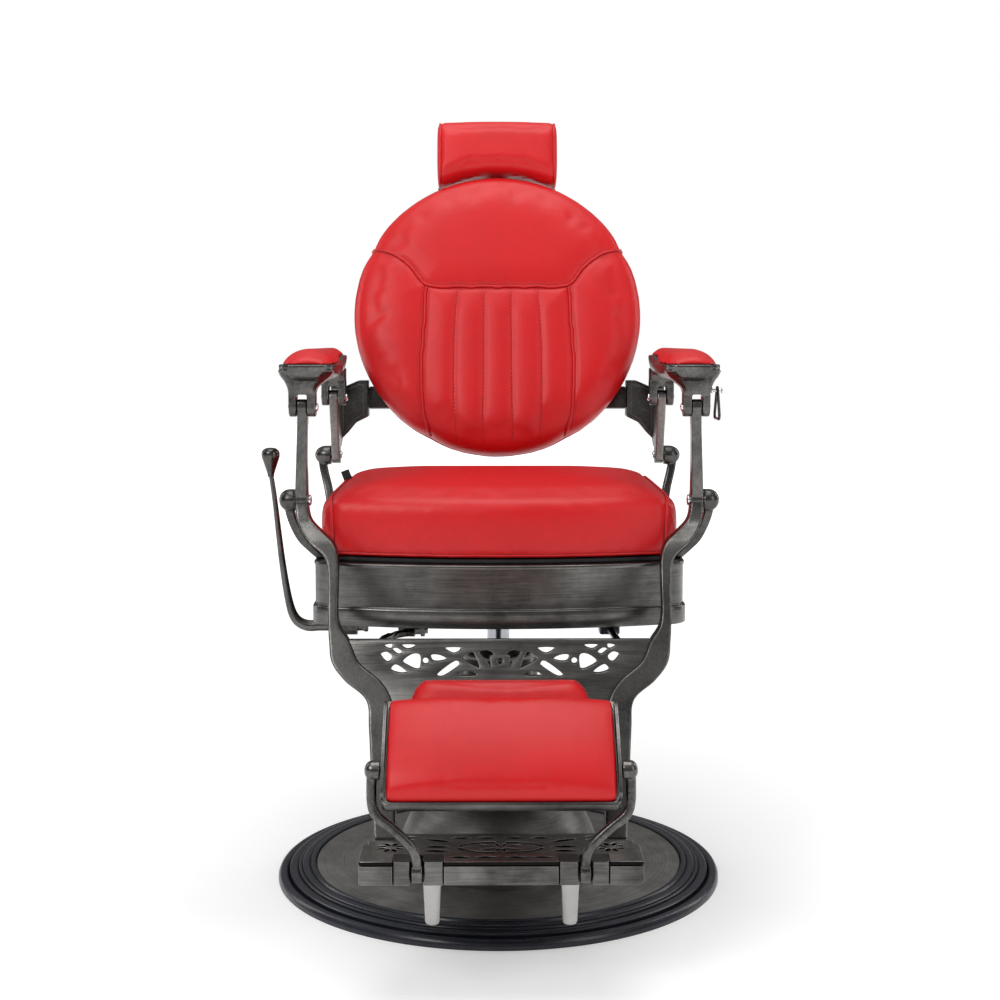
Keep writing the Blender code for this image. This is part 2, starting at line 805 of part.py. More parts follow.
def headrest_outline(inset, steps=12):
    """Straight top and sides, and a hollow underside that follows the round back."""
    half = HEADREST_HALF_WIDTH - inset
    top = HEADREST_TOP - inset
    corner = 14 * MM
    radius = HEADREST_ARC_RADIUS + inset
    points = []
    for i in range(steps + 1):
        x = -half + 2 * half * i / steps
        points.append((x, math.sqrt(radius * radius - x * x)))
    points += arc((half - corner, top - corner), corner, 0, 90, 4)
    points += arc((corner - half, top - corner), corner, 90, 180, 4)
    return points


def build_headrest():
    levels = [
        (6 * MM, -30 * MM),
        (0, -22 * MM),
        (0, 14 * MM),
        (5 * MM, 27 * MM),
        (16 * MM, 34 * MM),
        (30 * MM, 36 * MM),
    ]
    rings = [[on_back(x, up, out) for x, up in headrest_outline(inset)] for inset, out in levels]
    add_node("headrest_cushion", loft(rings), "leather", "headrest")
    bar_shape = prism(rectangle(-15 * MM, 15 * MM, 0.020, 0.318), -54 * MM, -48 * MM, on_back)
    plate = prism(rectangle(-35 * MM, 35 * MM, 0.270, 0.325), -49 * MM, -30.4 * MM, on_back)
    add_node("headrest_bar", union(bar_shape, plate), "chrome", "headrest")

    def along_bar(x, out, up):
        return on_back(x, up, out)

    slot = rectangle(-15.4 * MM, 15.4 * MM, -54.4 * MM, -47.6 * MM)
    guide = prism(rectangle(-24 * MM, 24 * MM, -61 * MM, -45.4 * MM), 0.085, 0.185, along_bar, [slot])
    add_node("headrest_guide", guide, "dark_pewter", "back")


# ---------------------------------------------------------------- armrests


def armrest_outline(inset):
    """The armrest's plan, as (x from the sitter's middle, y): broad at the front and slim at the back."""
    rows = [
        (-0.288, 0.268, 0.0240),
        (-0.276, 0.268, 0.0360),
        (-0.240, 0.268, 0.0420),
        (-0.150, 0.268, 0.0395),
        (-0.040, 0.268, 0.0310),
        (0.060, 0.269, 0.0250),
        (0.140, 0.2705, 0.0225),
        (0.163, 0.2705, 0.0160),
    ]
    smooth = smooth_rows(rows, 2)
    middle_y = (rows[0][0] + rows[-1][0]) / 2
    shrink = 1 - inset / (rows[-1][0] - middle_y)
    inner = [(middle - (half - inset), middle_y + (y - middle_y) * shrink) for y, middle, half in smooth]
    outer = [(middle + (half - inset), middle_y + (y - middle_y) * shrink) for y, middle, half in smooth]
    return outer + inner[::-1]


def clevis_cheek(pin, low, high):
    outline = hull_outline(
        [(*pin, 13.5 * MM), (pin[0] - 8 * MM, 0.776, 4 * MM), (pin[0] + 8 * MM, 0.776, 4 * MM)]
    )
    return prism(outline, low, high, across, [circle(pin, ARM_PIN_RADIUS + GAP, 12)])


def build_armrests():
    front = (ARM_FRONT_PIN.y, ARM_FRONT_PIN.z)
    rear = (ARM_REAR_PIN.y, ARM_REAR_PIN.z)
    clearance = 0.5 * MM
    clevises = {
        "front": (front, (LEG_INNER_AT_PIN - clearance, LEG_OUTER_AT_PIN + clearance), FRONT_CLEVIS),
        "rear": (rear, (REAR_LINK_INNER - clearance, REAR_LINK_OUTER + clearance), REAR_CLEVIS),
    }
    for name, side in SIDES.items():
        body = f"armrest_{name}"
        levels = [(9 * MM, 0.793), (1 * MM, 0.801), (0, 0.804), (0, 0.811), (1.5 * MM, 0.8125)]
        frame = loft([[(side * x, y, z) for x, y in armrest_outline(inset)] for inset, z in levels])
        neck_rows = {
            "front": [
                (0.800, 0.3060, 0.2340, 0.036),
                (0.790, 0.3020, 0.2450, 0.026),
                (0.780, 0.2975, 0.2550, 0.018),
                (0.770, FRONT_CLEVIS[1], FRONT_CLEVIS[0], 0.014),
            ],
            "rear": [
                (0.800, REAR_CLEVIS[1], REAR_CLEVIS[0], 0.014),
                (0.785, REAR_CLEVIS[1], REAR_CLEVIS[0], 0.0135),
                (0.770, REAR_CLEVIS[1], REAR_CLEVIS[0], 0.013),
            ],
        }
        for end, (pin, gap_faces, outside) in clevises.items():
            rows = [(z, pin[0], outer, inner, depth) for z, outer, inner, depth in neck_rows[end]]
            frame = union(frame, casting(rows, side))
            for low, high in ((outside[0], gap_faces[0]), (gap_faces[1], outside[1])):
                frame = union(frame, clevis_cheek(pin, *sorted((side * low, side * high))))
        add_node(f"{body}_frame", frame, "pewter", body)
        levels = [(5 * MM, 0.8128), (4 * MM, 0.816), (6 * MM, 0.822), (11 * MM, 0.828), (17 * MM, 0.832)]
        pad = loft([[(side * x, y, z) for x, y in armrest_outline(inset)] for inset, z in levels])
        add_node(f"{body}_pad", pad, "leather", body)
        for end, (pin, _, (inner, outer)) in clevises.items():
            head = 6 * MM
            profile = [
                (0, side * (inner - 3.5 * MM)),
                (0.8 * head, side * (inner - 3.5 * MM)),
                (head, side * (inner - 2 * MM)),
                (head, side * (inner - GAP)),
                (ARM_PIN_RADIUS, side * (inner - GAP)),
                (ARM_PIN_RADIUS, side * (outer + 1.5 * MM)),
                (0, side * (outer + 1.5 * MM)),
            ]
            shape = lathe(profile, 12, (0, *pin), "X")
            add_node(f"{body}_{end}_pin", shape, "chrome", body)


def build_strop_ring():
    """A wire ring that hangs from a peg on the right armrest, for a towel or a strop."""
    peg_point = (ARM_FRONT_PIN.y, 0.7755)
    wire = 2 * MM
    peg_radius = 2 * MM
    start = FRONT_CLEVIS[1] + 2.2 * MM
    peg = lathe(
        [(0, start), (4 * MM, start), (4 * MM, start + 2 * MM), (peg_radius, start + 2 * MM)]
        + [(peg_radius, 0.3125), (4 * MM, 0.3125), (4 * MM, 0.3145), (0, 0.3145)],
        12,
        (0, *peg_point),
        "X",
    )
    add_node("strop_peg", peg, "chrome", "armrest_right")
    top = peg_point[1] + peg_radius + wire + RUNNING_GAP
    corners = [(0, top), (-0.018, top - 0.034), (0.018, top - 0.034)]
    corner_radius = 5 * MM
    loop = hull_outline([(peg_point[0] + y, z - corner_radius, corner_radius) for y, z in corners], 12)
    x = 0.3070
    middle = Vector((x, peg_point[0], top - 0.020))
    rings = []
    for y, z in loop:
        point = Vector((x, y, z))
        outward = (point - middle).normalized()
        ring = []
        for k in range(6):
            angle = 2 * math.pi * k / 6
            ring.append(point + outward * wire * math.cos(angle) + Vector((wire * math.sin(angle), 0, 0)))
        rings.append(ring)
    add_node("strop_ring", loft(rings, closed_path=True), "chrome", "strop_ring")


# ---------------------------------------------------------------- leg frame


LEG_ROWS = [  # height, y, outer x, inner x, half depth
    (0.7630, -0.2457, 0.2838, 0.2718, 0.0070),
    (0.7560, -0.2457, LEG_OUTER_AT_PIN, LEG_INNER_AT_PIN, 0.0110),
    (0.7350, -0.2412, LEG_OUTER_AT_PIN, LEG_INNER_AT_PIN, 0.0110),
    (0.6900, -0.2290, 0.2880, 0.2730, 0.0110),
    (0.6400, -0.2160, 0.2915, 0.2745, 0.0125),
    (0.6170, -0.2100, 0.2925, 0.2750, 0.0145),
    (0.5920, -0.2210, 0.2895, 0.2695, 0.0130),
    (0.5750, -0.2350, 0.2810, 0.2520, 0.0125),
    (0.5600, -0.2470, 0.2680, 0.2350, 0.0125),
    (0.5400, -0.2590, 0.2460, 0.2275, 0.0120),
    (0.5080, -0.2730, 0.2405, 0.2265, 0.0120),
    (0.4560, -0.2930, 0.2390, 0.2250, 0.0120),
    (0.4300, -0.3052, 0.2370, 0.2090, 0.0120),
    (0.4030, -0.3192, 0.2320, 0.1945, 0.0120),
    (0.3800, -0.3312, 0.2130, 0.1650, 0.0120),
    (0.3560, -0.3437, 0.1835, 0.1490, 0.0115),
    (0.3200, -0.3624, 0.1785, 0.1460, 0.0110),
    (0.2500, -0.3988, 0.1730, 0.1410, 0.0110),
    (FOOT_PLATE_TOP + GAP, -0.4304, 0.1680, 0.1380, 0.0110),
]


def leg_y(z):
    """The leg frame's middle plane below the apron, which slopes forward."""
    return -0.300 - (LEG_SLOPE_TOP - z) * LEG_SLOPE


def on_leg_slope(x, z, depth):
    return (x, leg_y(z) + depth, z)


def build_legs():
    for name, side in SIDES.items():
        leg = casting(LEG_ROWS, side)
        bolt_hole = cylinder(
            PIVOT_BOLT_RADIUS + RUNNING_GAP, *sorted((side * 0.26, side * 0.31)), FRONT_PIVOT, "X", 14
        )
        pin_hole = cylinder(OPEN_PIVOT_RADIUS, *sorted((side * 0.26, side * 0.31)), ARM_FRONT_PIN, "X", 14)
        add_node(f"leg_{name}", cut(leg, bolt_hole, pin_hole), "pewter", "leg_frame")


def mirrored(outline):
    return [(-x, z) for x, z in reversed(outline)]


def panel_piercings():
    """The cut pattern along the top of the calf panel, in (x, distance below the top edge)."""
    half = [
        [(0.161, 0.008), (0.150, 0.006), (0.152, 0.012)],
        [(0.149, 0.013), (0.143, 0.011), (0.136, 0.016), (0.141, 0.019)],
        [(0.136, 0.007), (0.118, 0.007), (0.122, 0.011), (0.130, 0.012)],
        [(0.165, 0.019), (0.157, 0.016), (0.150, 0.021), (0.152, 0.027), (0.158, 0.028)],
        [(0.134, 0.028), (0.122, 0.019), (0.111, 0.020), (0.1105, 0.034), (0.114, 0.038), (0.124, 0.035)],
        circle((0.103, 0.0275), 4 * MM, 10),
        [(0.095, 0.020), (0.084, 0.020), (0.074, 0.025), (0.084, 0.028), (0.093, 0.027)],
        [(0.150, 0.039), (0.144, 0.032), (0.129, 0.041), (0.137, 0.043)],
        [(0.076, 0.011), (0.053, 0.011), (0.064, 0.018)],
        [(0.086, 0.044), (0.063, 0.028), (0.056, 0.031), (0.060, 0.036), (0.079, 0.047)],
        [(0.051, 0.025), (0.041, 0.017), (0.036, 0.018), (0.029, 0.034), (0.031, 0.036)],
        [(0.056, 0.046), (0.050, 0.041), (0.040, 0.041), (0.033, 0.046)],
        [(0.029, 0.017), (0.018, 0.014), (0.009, 0.019), (0.014, 0.023), (0.013, 0.036), (0.020, 0.027)],
    ]
    loops = [[(x, PANEL_TOP - below) for x, below in loop] for loop in half]
    loops += [mirrored(loop) for loop in loops]
    loops.append([(x, PANEL_TOP - below) for x, below in circle((0, 0.028), 4 * MM, 10)])
    return loops


def build_calf_panel():
    clearance = 0.5 * MM
    slope_rows = [row for row in smooth_rows(LEG_ROWS, 2) if PANEL_BOTTOM < row[0] < PANEL_TOP]
    right_side = [(row[3] - clearance, row[0]) for row in slope_rows]
    top_corner = (0.2085, PANEL_TOP)
    bottom_corner = (0.1395, PANEL_BOTTOM)
    right = [top_corner, *right_side, bottom_corner]
    outline = right + mirrored(right)
    panel = prism(outline, -PANEL_HALF_THICKNESS, PANEL_HALF_THICKNESS, on_leg_slope, panel_piercings())
    add_node("calf_panel", panel, "pewter", "leg_frame")

    def pad_outline(inset):
        half = 0.1235 - inset
        top = 0.385 - inset
        bottom = 0.262 + inset
        corner = 0.026
        points = arc((half - corner, top - corner), corner, 0, 90, 4)
        points += arc((corner - half, top - corner), corner, 90, 180, 4)
        points += arc((corner - half, bottom + corner), corner, 180, 270, 4)
        points += arc((half - corner, bottom + corner), corner, 270, 360, 4)
        return points

    levels = [(2 * MM, 0.3 * MM), (0, 4 * MM), (0, 12 * MM), (5 * MM, 19 * MM), (14 * MM, 23 * MM)]
    face = -PANEL_HALF_THICKNESS
    rings = [[on_leg_slope(x, z, face - out) for x, z in pad_outline(inset)] for inset, out in levels]
    add_node("calf_pad", loft(rings), "leather", "leg_frame")


def petal(centre, angle, near, far, half_width):
    """A leaf-shaped opening that points away from a centre."""
    along = (math.cos(angle), math.sin(angle))
    aside = (-along[1], along[0])
    middle = 0.55 * near + 0.45 * far
    return [
        tuple(c + a * distance + b * offset for c, a, b in zip(centre, along, aside))
        for distance, offset in ((near, 0), (middle, -half_width), (far, 0), (middle, half_width))
    ]


def oval_slots(centre, half_size, band, count, gap_degrees):
    """Curved slots that run round an oval, with bars of metal between them."""
    loops = []
    span = 360 / count
    for k in range(count):
        angles = [math.radians(span * k + gap_degrees + (span - 2 * gap_degrees) * i / 4) for i in range(5)]
        inner = [(half_size[0] * math.cos(a), half_size[1] * math.sin(a)) for a in angles]
        outer = [((half_size[0] + band) * math.cos(a), (half_size[1] + band) * math.sin(a)) for a in angles]
        loops.append([(centre[0] + x, centre[1] + y) for x, y in outer + inner[::-1]])
    return loops


def foot_plate_openings():
    """The footplate's cut pattern: an oval medallion, a rose at each end and leaves along the edges."""
    middle_y = -0.474
    loops = oval_slots((0, middle_y), (0.052, 0.019), 5 * MM, 4, 7)
    for i in range(8):
        angle = math.pi / 4 * i + math.pi / 8
        loops.append(petal((0, middle_y), angle, 5 * MM, (22 * abs(math.cos(angle)) + 8) * MM, 2.2 * MM))
    for side in SIDES.values():
        away = 0 if side > 0 else math.pi
        rose = (side * 0.143, -0.474)
        for i in range(8):
            loops.append(petal(rose, math.pi / 4 * i + math.pi / 8, 6 * MM, 19 * MM, 3.2 * MM))
        for y, tilt in ((-0.452, 0.35), (-0.472, 0), (-0.489, 0)):
            loops.append(petal((side * 0.066, y), away + side * tilt, 0, 36 * MM, 4.5 * MM))
        for y in (-0.435, -0.514):
            for start in (0.006, 0.040):
                loops.append(petal((side * start, y), away, 0, 27 * MM, 4 * MM))
        for y in (-0.443, -0.430):
            loops.append(petal((side * 0.112, y), away, 0, 28 * MM, 3 * MM))
    return loops


def build_foot_plate():
    half = 0.1815
    step = 0.015
    rear = -0.416
    notch = FOOT_BLOCK_BACK + GAP
    right = [
        (FOOT_BLOCK_INNER - GAP, FOOT_PLATE_FRONT),
        (FOOT_BLOCK_INNER - GAP, notch),
        (FOOT_BLOCK_OUTER + GAP, notch),
        (FOOT_BLOCK_OUTER + GAP, FOOT_PLATE_FRONT),
        (half - 4 * MM, FOOT_PLATE_FRONT),
        (half, FOOT_PLATE_FRONT + 4 * MM),
        (half, -0.4606),
        (half - step / 2, -0.4606),
        (half - step / 2, -0.446),
        (half - step, -0.446),
        (half - 0.008 - step / 3, rear),
    ]
    outline = right + [(-x, y) for x, y in reversed(right)]
    block = prism(outline, FOOT_PLATE_BOTTOM, FOOT_PLATE_TOP, upright)
    plate_underside = FOOT_PLATE_TOP - 7 * MM
    skirt = 5 * MM
    inner_right = [
        (FOOT_BLOCK_INNER - GAP - skirt, FOOT_PLATE_FRONT + skirt),
        (FOOT_BLOCK_INNER - GAP - skirt, notch + skirt),
        (FOOT_BLOCK_OUTER + GAP + skirt, notch + skirt),
        (FOOT_BLOCK_OUTER + GAP + skirt, FOOT_PLATE_FRONT + skirt),
        (half - skirt, FOOT_PLATE_FRONT + skirt),
        (half - skirt, -0.4606 - skirt),
        (half - skirt - step / 2, -0.4606 - skirt),
        (half - skirt - step, -0.446 - skirt),
        (half - 0.008 - skirt - step / 3, rear - skirt),
    ]
    inner = inner_right + [(-x, y) for x, y in reversed(inner_right)]
    hollow = prism(inner, FOOT_PLATE_BOTTOM - 1 * MM, plate_underside, upright)
    openings = foot_plate_openings()
    plate = pierce(cut(block, hollow), openings, plate_underside - 1 * MM, FOOT_PLATE_TOP + 1 * MM, upright)
    add_node("foot_plate", plate, "pewter", "leg_frame")


def build_foot_blocks():
    slot_low = FOOTREST_ARM_X - 7.8 * MM
    slot_high = FOOTREST_ARM_X + 7.8 * MM
    for name, side in SIDES.items():
        outline = [
            (FOOT_BLOCK_INNER, FOOT_BLOCK_BACK),
            (FOOT_BLOCK_OUTER, FOOT_BLOCK_BACK),
            (FOOT_BLOCK_OUTER, FOOT_PLATE_FRONT),
            (slot_high, FOOT_PLATE_FRONT),
            (slot_high, FOOT_BLOCK_BACK - 4.5 * MM),
            (slot_low, FOOT_BLOCK_BACK - 4.5 * MM),
            (slot_low, FOOT_PLATE_FRONT),
            (FOOT_BLOCK_INNER, FOOT_PLATE_FRONT),
        ]
        outline = [(side * x, y) for x, y in outline]
        block = prism(outline, FOOT_PLATE_BOTTOM, FOOT_PLATE_TOP, upright)
        hole = footrest_hinge_cylinder(4 * MM + RUNNING_GAP, 19 * MM, side, 14)
        add_node(f"foot_block_{name}", cut(block, hole), "pewter", "leg_frame")
        top = FOOT_PLATE_BOTTOM - GAP
        foot = top - 0.055
        peg = [(0, foot), (8.5 * MM, foot), (9.5 * MM, foot + 2 * MM), (12 * MM, top), (0, top)]
        peg = lathe(peg, 20, (side * 0.088, -0.517, 0))
        add_node(f"foot_peg_{name}", peg, "satin_aluminium", "leg_frame")


def build_yoke():
    """Arms that reach from the calf panel: to the recline lock on the left, to the rest stop on the right."""
    start_z = 0.405
    start_y = leg_y(start_z) + PANEL_HALF_THICKNESS + GAP
    lean = math.atan2(LOCK_PIN_Y - FRONT_PIVOT.y, FRONT_PIVOT.z - LOCK_Z)
    low_radius = FRONT_PIVOT.z - LOCK_Z
    high_radius = low_radius / math.cos(lean)

    def along_slot(radius):
        return (FRONT_PIVOT.y + radius * math.sin(lean), FRONT_PIVOT.z - radius * math.cos(lean))

    section = (5.5 * MM, 5.5 * MM)
    path = [
        (-0.178, start_y + 5 * MM, start_z),
        (-0.175, -0.270, 0.411),
        (-0.168, -0.225, 0.4165),
        (-0.150, -0.195, 0.4180),
        (LOCK_X - 2 * MM, -0.184, 0.4190),
        (LOCK_X + 2 * MM, -0.1835, 0.4190),
    ]
    arm = bar(path, [section] * len(path))
    flange_depths = (PANEL_HALF_THICKNESS + GAP, PANEL_HALF_THICKNESS + 4 * MM)
    flange_heights = (start_z - 9 * MM, start_z + 9 * MM)
    flange = prism(rectangle(-0.184, -0.166, *flange_heights), *flange_depths, on_leg_slope)
    slot = hull_outline([(*along_slot(low_radius), 5.2 * MM), (*along_slot(high_radius), 5.2 * MM)])
    lug = [(*along_slot(low_radius), 9.3 * MM), (*along_slot(high_radius), 9.3 * MM), (-0.1845, 0.419, 6 * MM)]
    lug = hull_outline(lug)
    plate = prism(lug, LOCK_X - 4 * MM, LOCK_X + 4 * MM, across, [slot])
    add_node("yoke_arm_left", union(arm, plate, flange), "dark_pewter", "leg_frame")

    stop_y = -0.150
    path = [
        (0.178, start_y + 5 * MM, start_z),
        (0.175, -0.270, 0.411),
        (0.168, -0.215, 0.4175),
        (0.165, stop_y - GAP, 0.4190),
    ]
    flange = prism(rectangle(0.166, 0.184, *flange_heights), *flange_depths, on_leg_slope)
    add_node("yoke_arm_right", union(bar(path, [section] * len(path)), flange), "dark_pewter", "leg_frame")
    stop = rounded_box((0.150, stop_y, 0.409), (0.180, stop_y + 0.032, MOUNT_BOTTOM - GAP), 2 * MM)
    add_node("rest_stop", stop, "rubber", "seat")


# ---------------------------------------------------------------- flip-over footrest


def footrest_hinge_cylinder(radius, half_length, side, steps):
    """A cylinder on the fold axis, centred on one arm."""
    ends = sorted((side * (FOOTREST_ARM_X - half_length), side * (FOOTREST_ARM_X + half_length)))
    return cylinder(radius, *ends, FOLD_PIVOT, "X", steps)


def build_footrest_arms():
    for name, side in SIDES.items():
        path = [
            (FOOTREST_ARM_X, FOLD_PIVOT.y, FOLD_PIVOT.z),
            (FOOTREST_ARM_X, -0.5330, 0.1870),
            (0.1105, -0.5370, 0.2040),
            (0.1230, -0.5360, 0.2190),
            (0.1400, -0.5320, 0.2335),
            (0.1580, -0.5280, 0.2480),
            (0.1640, -0.5250, 0.2660),
            (0.1640, TILT_PIVOT.y, TILT_PIVOT.z),
        ]
        arm = bar([(side * x, y, z) for x, y, z in path], [(6.5 * MM, 5.5 * MM)] * len(path))
        foot = footrest_hinge_cylinder(15.5 * MM, 6.8 * MM, side, 20)
        trunnion = footrest_hinge_cylinder(4 * MM, 18 * MM, side, 14)
        face = TRAY_HALF_WIDTH + 1.5 * MM
        boss = lathe(
            [
                (0, side * face),
                (12 * MM, side * face),
                (12 * MM, side * (face + 10 * MM)),
                (10 * MM, side * (face + 16 * MM)),
                (6 * MM, side * (face + 19 * MM)),
                (0, side * (face + 20 * MM)),
            ],
            20,
            TILT_PIVOT,
            "X",
        )
        stub_ends = sorted((side * (PAD_HALF_WIDTH + 1 * MM), side * (face + 2 * MM)))
        stub = cylinder(ARM_PIN_RADIUS, *stub_ends, TILT_PIVOT, "X", 14)
        add_node(f"footrest_arm_{name}", union(arm, foot, trunnion, boss, stub), "pewter", "footrest_arms")


def on_footrest(x, up, out):
    """A point on the footrest pad's own plane: up the slope from its lower edge, and out of its face."""
    slope = Vector((0, math.cos(PAD_SLOPE), math.sin(PAD_SLOPE)))
    normal = Vector((0, -math.sin(PAD_SLOPE), math.cos(PAD_SLOPE)))
    return PAD_LOW_EDGE + Vector((x, 0, 0)) + slope * up + normal * out


def rounded_rectangle(low_u, high_u, low_v, high_v, corner, steps=3):
    points = arc((high_u - corner, high_v - corner), corner, 0, 90, steps)
    points += arc((low_u + corner, high_v - corner), corner, 90, 180, steps)
    points += arc((low_u + corner, low_v + corner), corner, 180, 270, steps)
    points += arc((high_u - corner, low_v + corner), corner, 270, 360, steps)
    return points


def footrest_crown(inset=0.0):
    """The pad's rounded face from its lower edge to its upper, as (up the slope, out of it)."""
    rise = [(0.8, 4.0), (3.0, 13.0), (10.0, 19.0), (26.0, 23.8), (50.0, 26.8), (74.0, 27.8)]
    lower = [(max(up * MM, inset), out * MM - inset) for up, out in rise]
    return lower + [(PAD_LENGTH - up, out) for up, out in reversed(lower[:-1])]


def build_footrest_pad():
    rim = 5.5 * MM
    half = TRAY_HALF_WIDTH
    rim_top = 4 * MM
    sections = [
        (0, -11 * MM),
        (0, rim_top),
        (rim - 1 * MM, rim_top),
        (rim - 1 * MM, -5 * MM),
    ]
    rings = []
    for inset, out in sections:
        ends = (inset - rim, PAD_LENGTH + rim - inset)
        outline = rounded_rectangle(inset - half, half - inset, *ends, 9 * MM)
        rings.append([on_footrest(x, up, out) for x, up in outline])
    tray = loft(rings)
    cheek_end = 3.5 * MM
    face = [(up, out) for up, out in footrest_crown(1.5 * MM) if cheek_end < up < PAD_LENGTH - cheek_end]
    cheek = [(cheek_end, -8 * MM), (cheek_end, 11 * MM), *face]
    cheek += [(PAD_LENGTH - cheek_end, 11 * MM), (PAD_LENGTH - cheek_end, -8 * MM)]
    points = [on_footrest(0, up, out) for up, out in cheek]
    outline = [(point.y, point.z) for point in points]
    hole = circle((TILT_PIVOT.y, TILT_PIVOT.z), ARM_PIN_RADIUS + RUNNING_GAP, 14)
    for side in SIDES.values():
        depths = sorted((side * half, side * (half - 4 * MM)))
        tray = union(tray, prism(outline, *depths, across, [hole]))
    add_node("footrest_tray", tray, "pewter", "footrest_pad")

    bottom = -4.7 * MM
    rings = []
    for x, inset in ((-PAD_HALF_WIDTH, 4 * MM), (4 * MM - PAD_HALF_WIDTH, 0)):
        face = footrest_crown(inset)
        ring = [(face[0][0], bottom), *face, (face[-1][0], bottom)]
        rings.append([on_footrest(x, up, out) for up, out in ring])
    rings += [[Vector((-point.x, point.y, point.z)) for point in ring] for ring in reversed(rings)]
    add_node("footrest_cushion", loft(rings), "leather", "footrest_pad")


# ---------------------------------------------------------------- assembly


def main():
    clear_scene()
    add_body("base", (0, 0, 0))
    add_body("pedal", PEDAL_PIVOT, "base")
    add_body("piston", (0, 0, PISTON_BOTTOM), "base")
    add_body("seat", (0, 0, PISTON_TOP), "piston")
    add_body("recline_lever", LEVER_AXIS, "seat")
    add_body("lock_rod", (LOCK_X, LOCK_PIN_Y, LOCK_Z), "seat")
    add_body("back", REAR_PIVOT, "seat")
    add_body("headrest", BACK_CENTRE, "back")
    add_body("armrest_left", ARM_REAR_PIN, "back")
    add_body("armrest_right", ARM_REAR_PIN, "back")
    add_body("strop_ring", (0, ARM_FRONT_PIN.y, 0.7755), "armrest_right")
    add_body("leg_frame", FRONT_PIVOT, "seat")
    add_body("footrest_arms", FOLD_PIVOT, "leg_frame")
    add_body("footrest_pad", TILT_PIVOT, "footrest_arms")
    build_base()
    build_pump()
    build_seat_frame()
    build_pivot_brackets()
    build_lock()
    build_lever()
    build_back()
    build_headrest()
    build_armrests()
    build_strop_ring()
    build_legs()
    build_calf_panel()
    build_foot_plate()
    build_foot_blocks()
    build_yoke()
    build_footrest_arms()
    build_footrest_pad()


main()
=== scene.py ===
"""Looks of the hydraulic barber chair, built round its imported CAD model.

Everything is in metres in the CAD's frame: origin at the base's centre on the floor, +Z up, and the
sitter faces -Y. "left" is -X, as seen from in front.
"""

import math

import bmesh
import bpy
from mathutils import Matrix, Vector, geometry
from mathutils.bvhtree import BVHTree
from mathutils.kdtree import KDTree


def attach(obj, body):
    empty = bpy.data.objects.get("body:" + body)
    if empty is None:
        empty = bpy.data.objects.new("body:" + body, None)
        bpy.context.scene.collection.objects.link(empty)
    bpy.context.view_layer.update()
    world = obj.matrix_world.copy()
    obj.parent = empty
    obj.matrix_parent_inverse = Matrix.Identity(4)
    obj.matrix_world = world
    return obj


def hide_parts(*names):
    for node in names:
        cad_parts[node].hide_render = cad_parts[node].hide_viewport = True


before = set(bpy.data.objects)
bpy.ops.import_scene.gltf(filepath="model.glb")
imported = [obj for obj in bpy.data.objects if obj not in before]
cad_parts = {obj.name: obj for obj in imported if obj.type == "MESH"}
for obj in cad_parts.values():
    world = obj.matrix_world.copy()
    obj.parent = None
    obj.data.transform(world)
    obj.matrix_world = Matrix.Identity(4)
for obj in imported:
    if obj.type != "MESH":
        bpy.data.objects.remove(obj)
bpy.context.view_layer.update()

MM = 0.001
SIDES = {"left": -1, "right": 1}

# Pivots, shared with the CAD
FRONT_PIVOT = Vector((0, -0.210, 0.617))
REAR_PIVOT = Vector((0, 0.185, 0.654))
ARM_FRONT_PIN = Vector((0, -0.2457, 0.752))
ARM_REAR_PIN = Vector((0, 0.1493, 0.752))
FOLD_PIVOT = Vector((0, -0.5215, 0.1735))
TILT_PIVOT = Vector((0, -0.520, 0.304))
LEVER_AXIS = Vector((0, -0.130, 0.4205))

# Back, base and seat
BACK_CENTRE = Vector((0, 0.225, 0.888))
BACK_LEAN = math.radians(16)
BACK_RADIUS = 0.2455
HEADREST_HALF_WIDTH = 0.105
BASE_RADIUS = 0.350
PLATE_RADIUS = 0.2905
PLATE_TOP = 0.0225
PUMP_RADIUS = 0.0625
PISTON_RADIUS = 0.0175
SEAT_HALF_WIDTH = 0.267
SEAT_FRONT = -0.270
SEAT_BACK = 0.190
SEAT_FRONT_RADIUS = 0.756
SEAT_CORNER = 0.036
REAR_LINK = (0.2640, 0.2780)  # inner and outer faces
FRONT_CLEVIS = (0.2585, 0.2960)
REAR_CLEVIS = (0.2508, 0.2905)
BACK_FACE = 0.043  # how far in front of its centre the back cushion's seams are laid out

# Footrest, legs and apron
PAD_LOW_EDGE = Vector((0, -0.5388, 0.2665))
PAD_SLOPE = math.atan2(0.103, 0.106)
PAD_LENGTH = 0.148
PAD_HALF_WIDTH = 0.1462
TRAY_HALF_WIDTH = 0.152
PANEL_TOP = 0.432
PANEL_BOTTOM = 0.235
PANEL_HALF_THICKNESS = 4.5 * MM
FOOT_PLATE_TOP = 0.189
FOOT_PLATE_BOTTOM = 0.158
FOOT_PLATE_FRONT = -0.5335
FOOT_BLOCK_INNER = 0.073
FOOT_BLOCK_OUTER = 0.138
FOOTREST_ARM_X = 0.107
LEG_SLOPE_TOP = 0.440
LEG_SLOPE = 0.52  # how far forward the legs go for each metre down
APRON_BOTTOM = 0.4396
APRON_TOP = 0.530


# ---------------------------------------------------------------- outlines and rows


def smooth_rows(rows, steps, closed=False):
    """Rows of numbers with a Catmull-Rom curve through them."""
    rows = [tuple(row) for row in rows]
    count = len(rows)
    result = []
    for i in range(count if closed else count - 1):
        if closed:
            window = [rows[(i + k) % count] for k in (-1, 0, 1, 2)]
        else:
            window = [rows[max(i - 1, 0)], rows[i], rows[i + 1], rows[min(i + 2, count - 1)]]
        for step in range(steps):
            t = step / steps
            row = []
            for a, b, c, d in zip(*window):
                square = (2 * a - 5 * b + 4 * c - d) * t**2
                cube = (3 * b - a - 3 * c + d) * t**3
                row.append(0.5 * (2 * b + (c - a) * t + square + cube))
            result.append(tuple(row))
    return result if closed else [*result, rows[-1]]


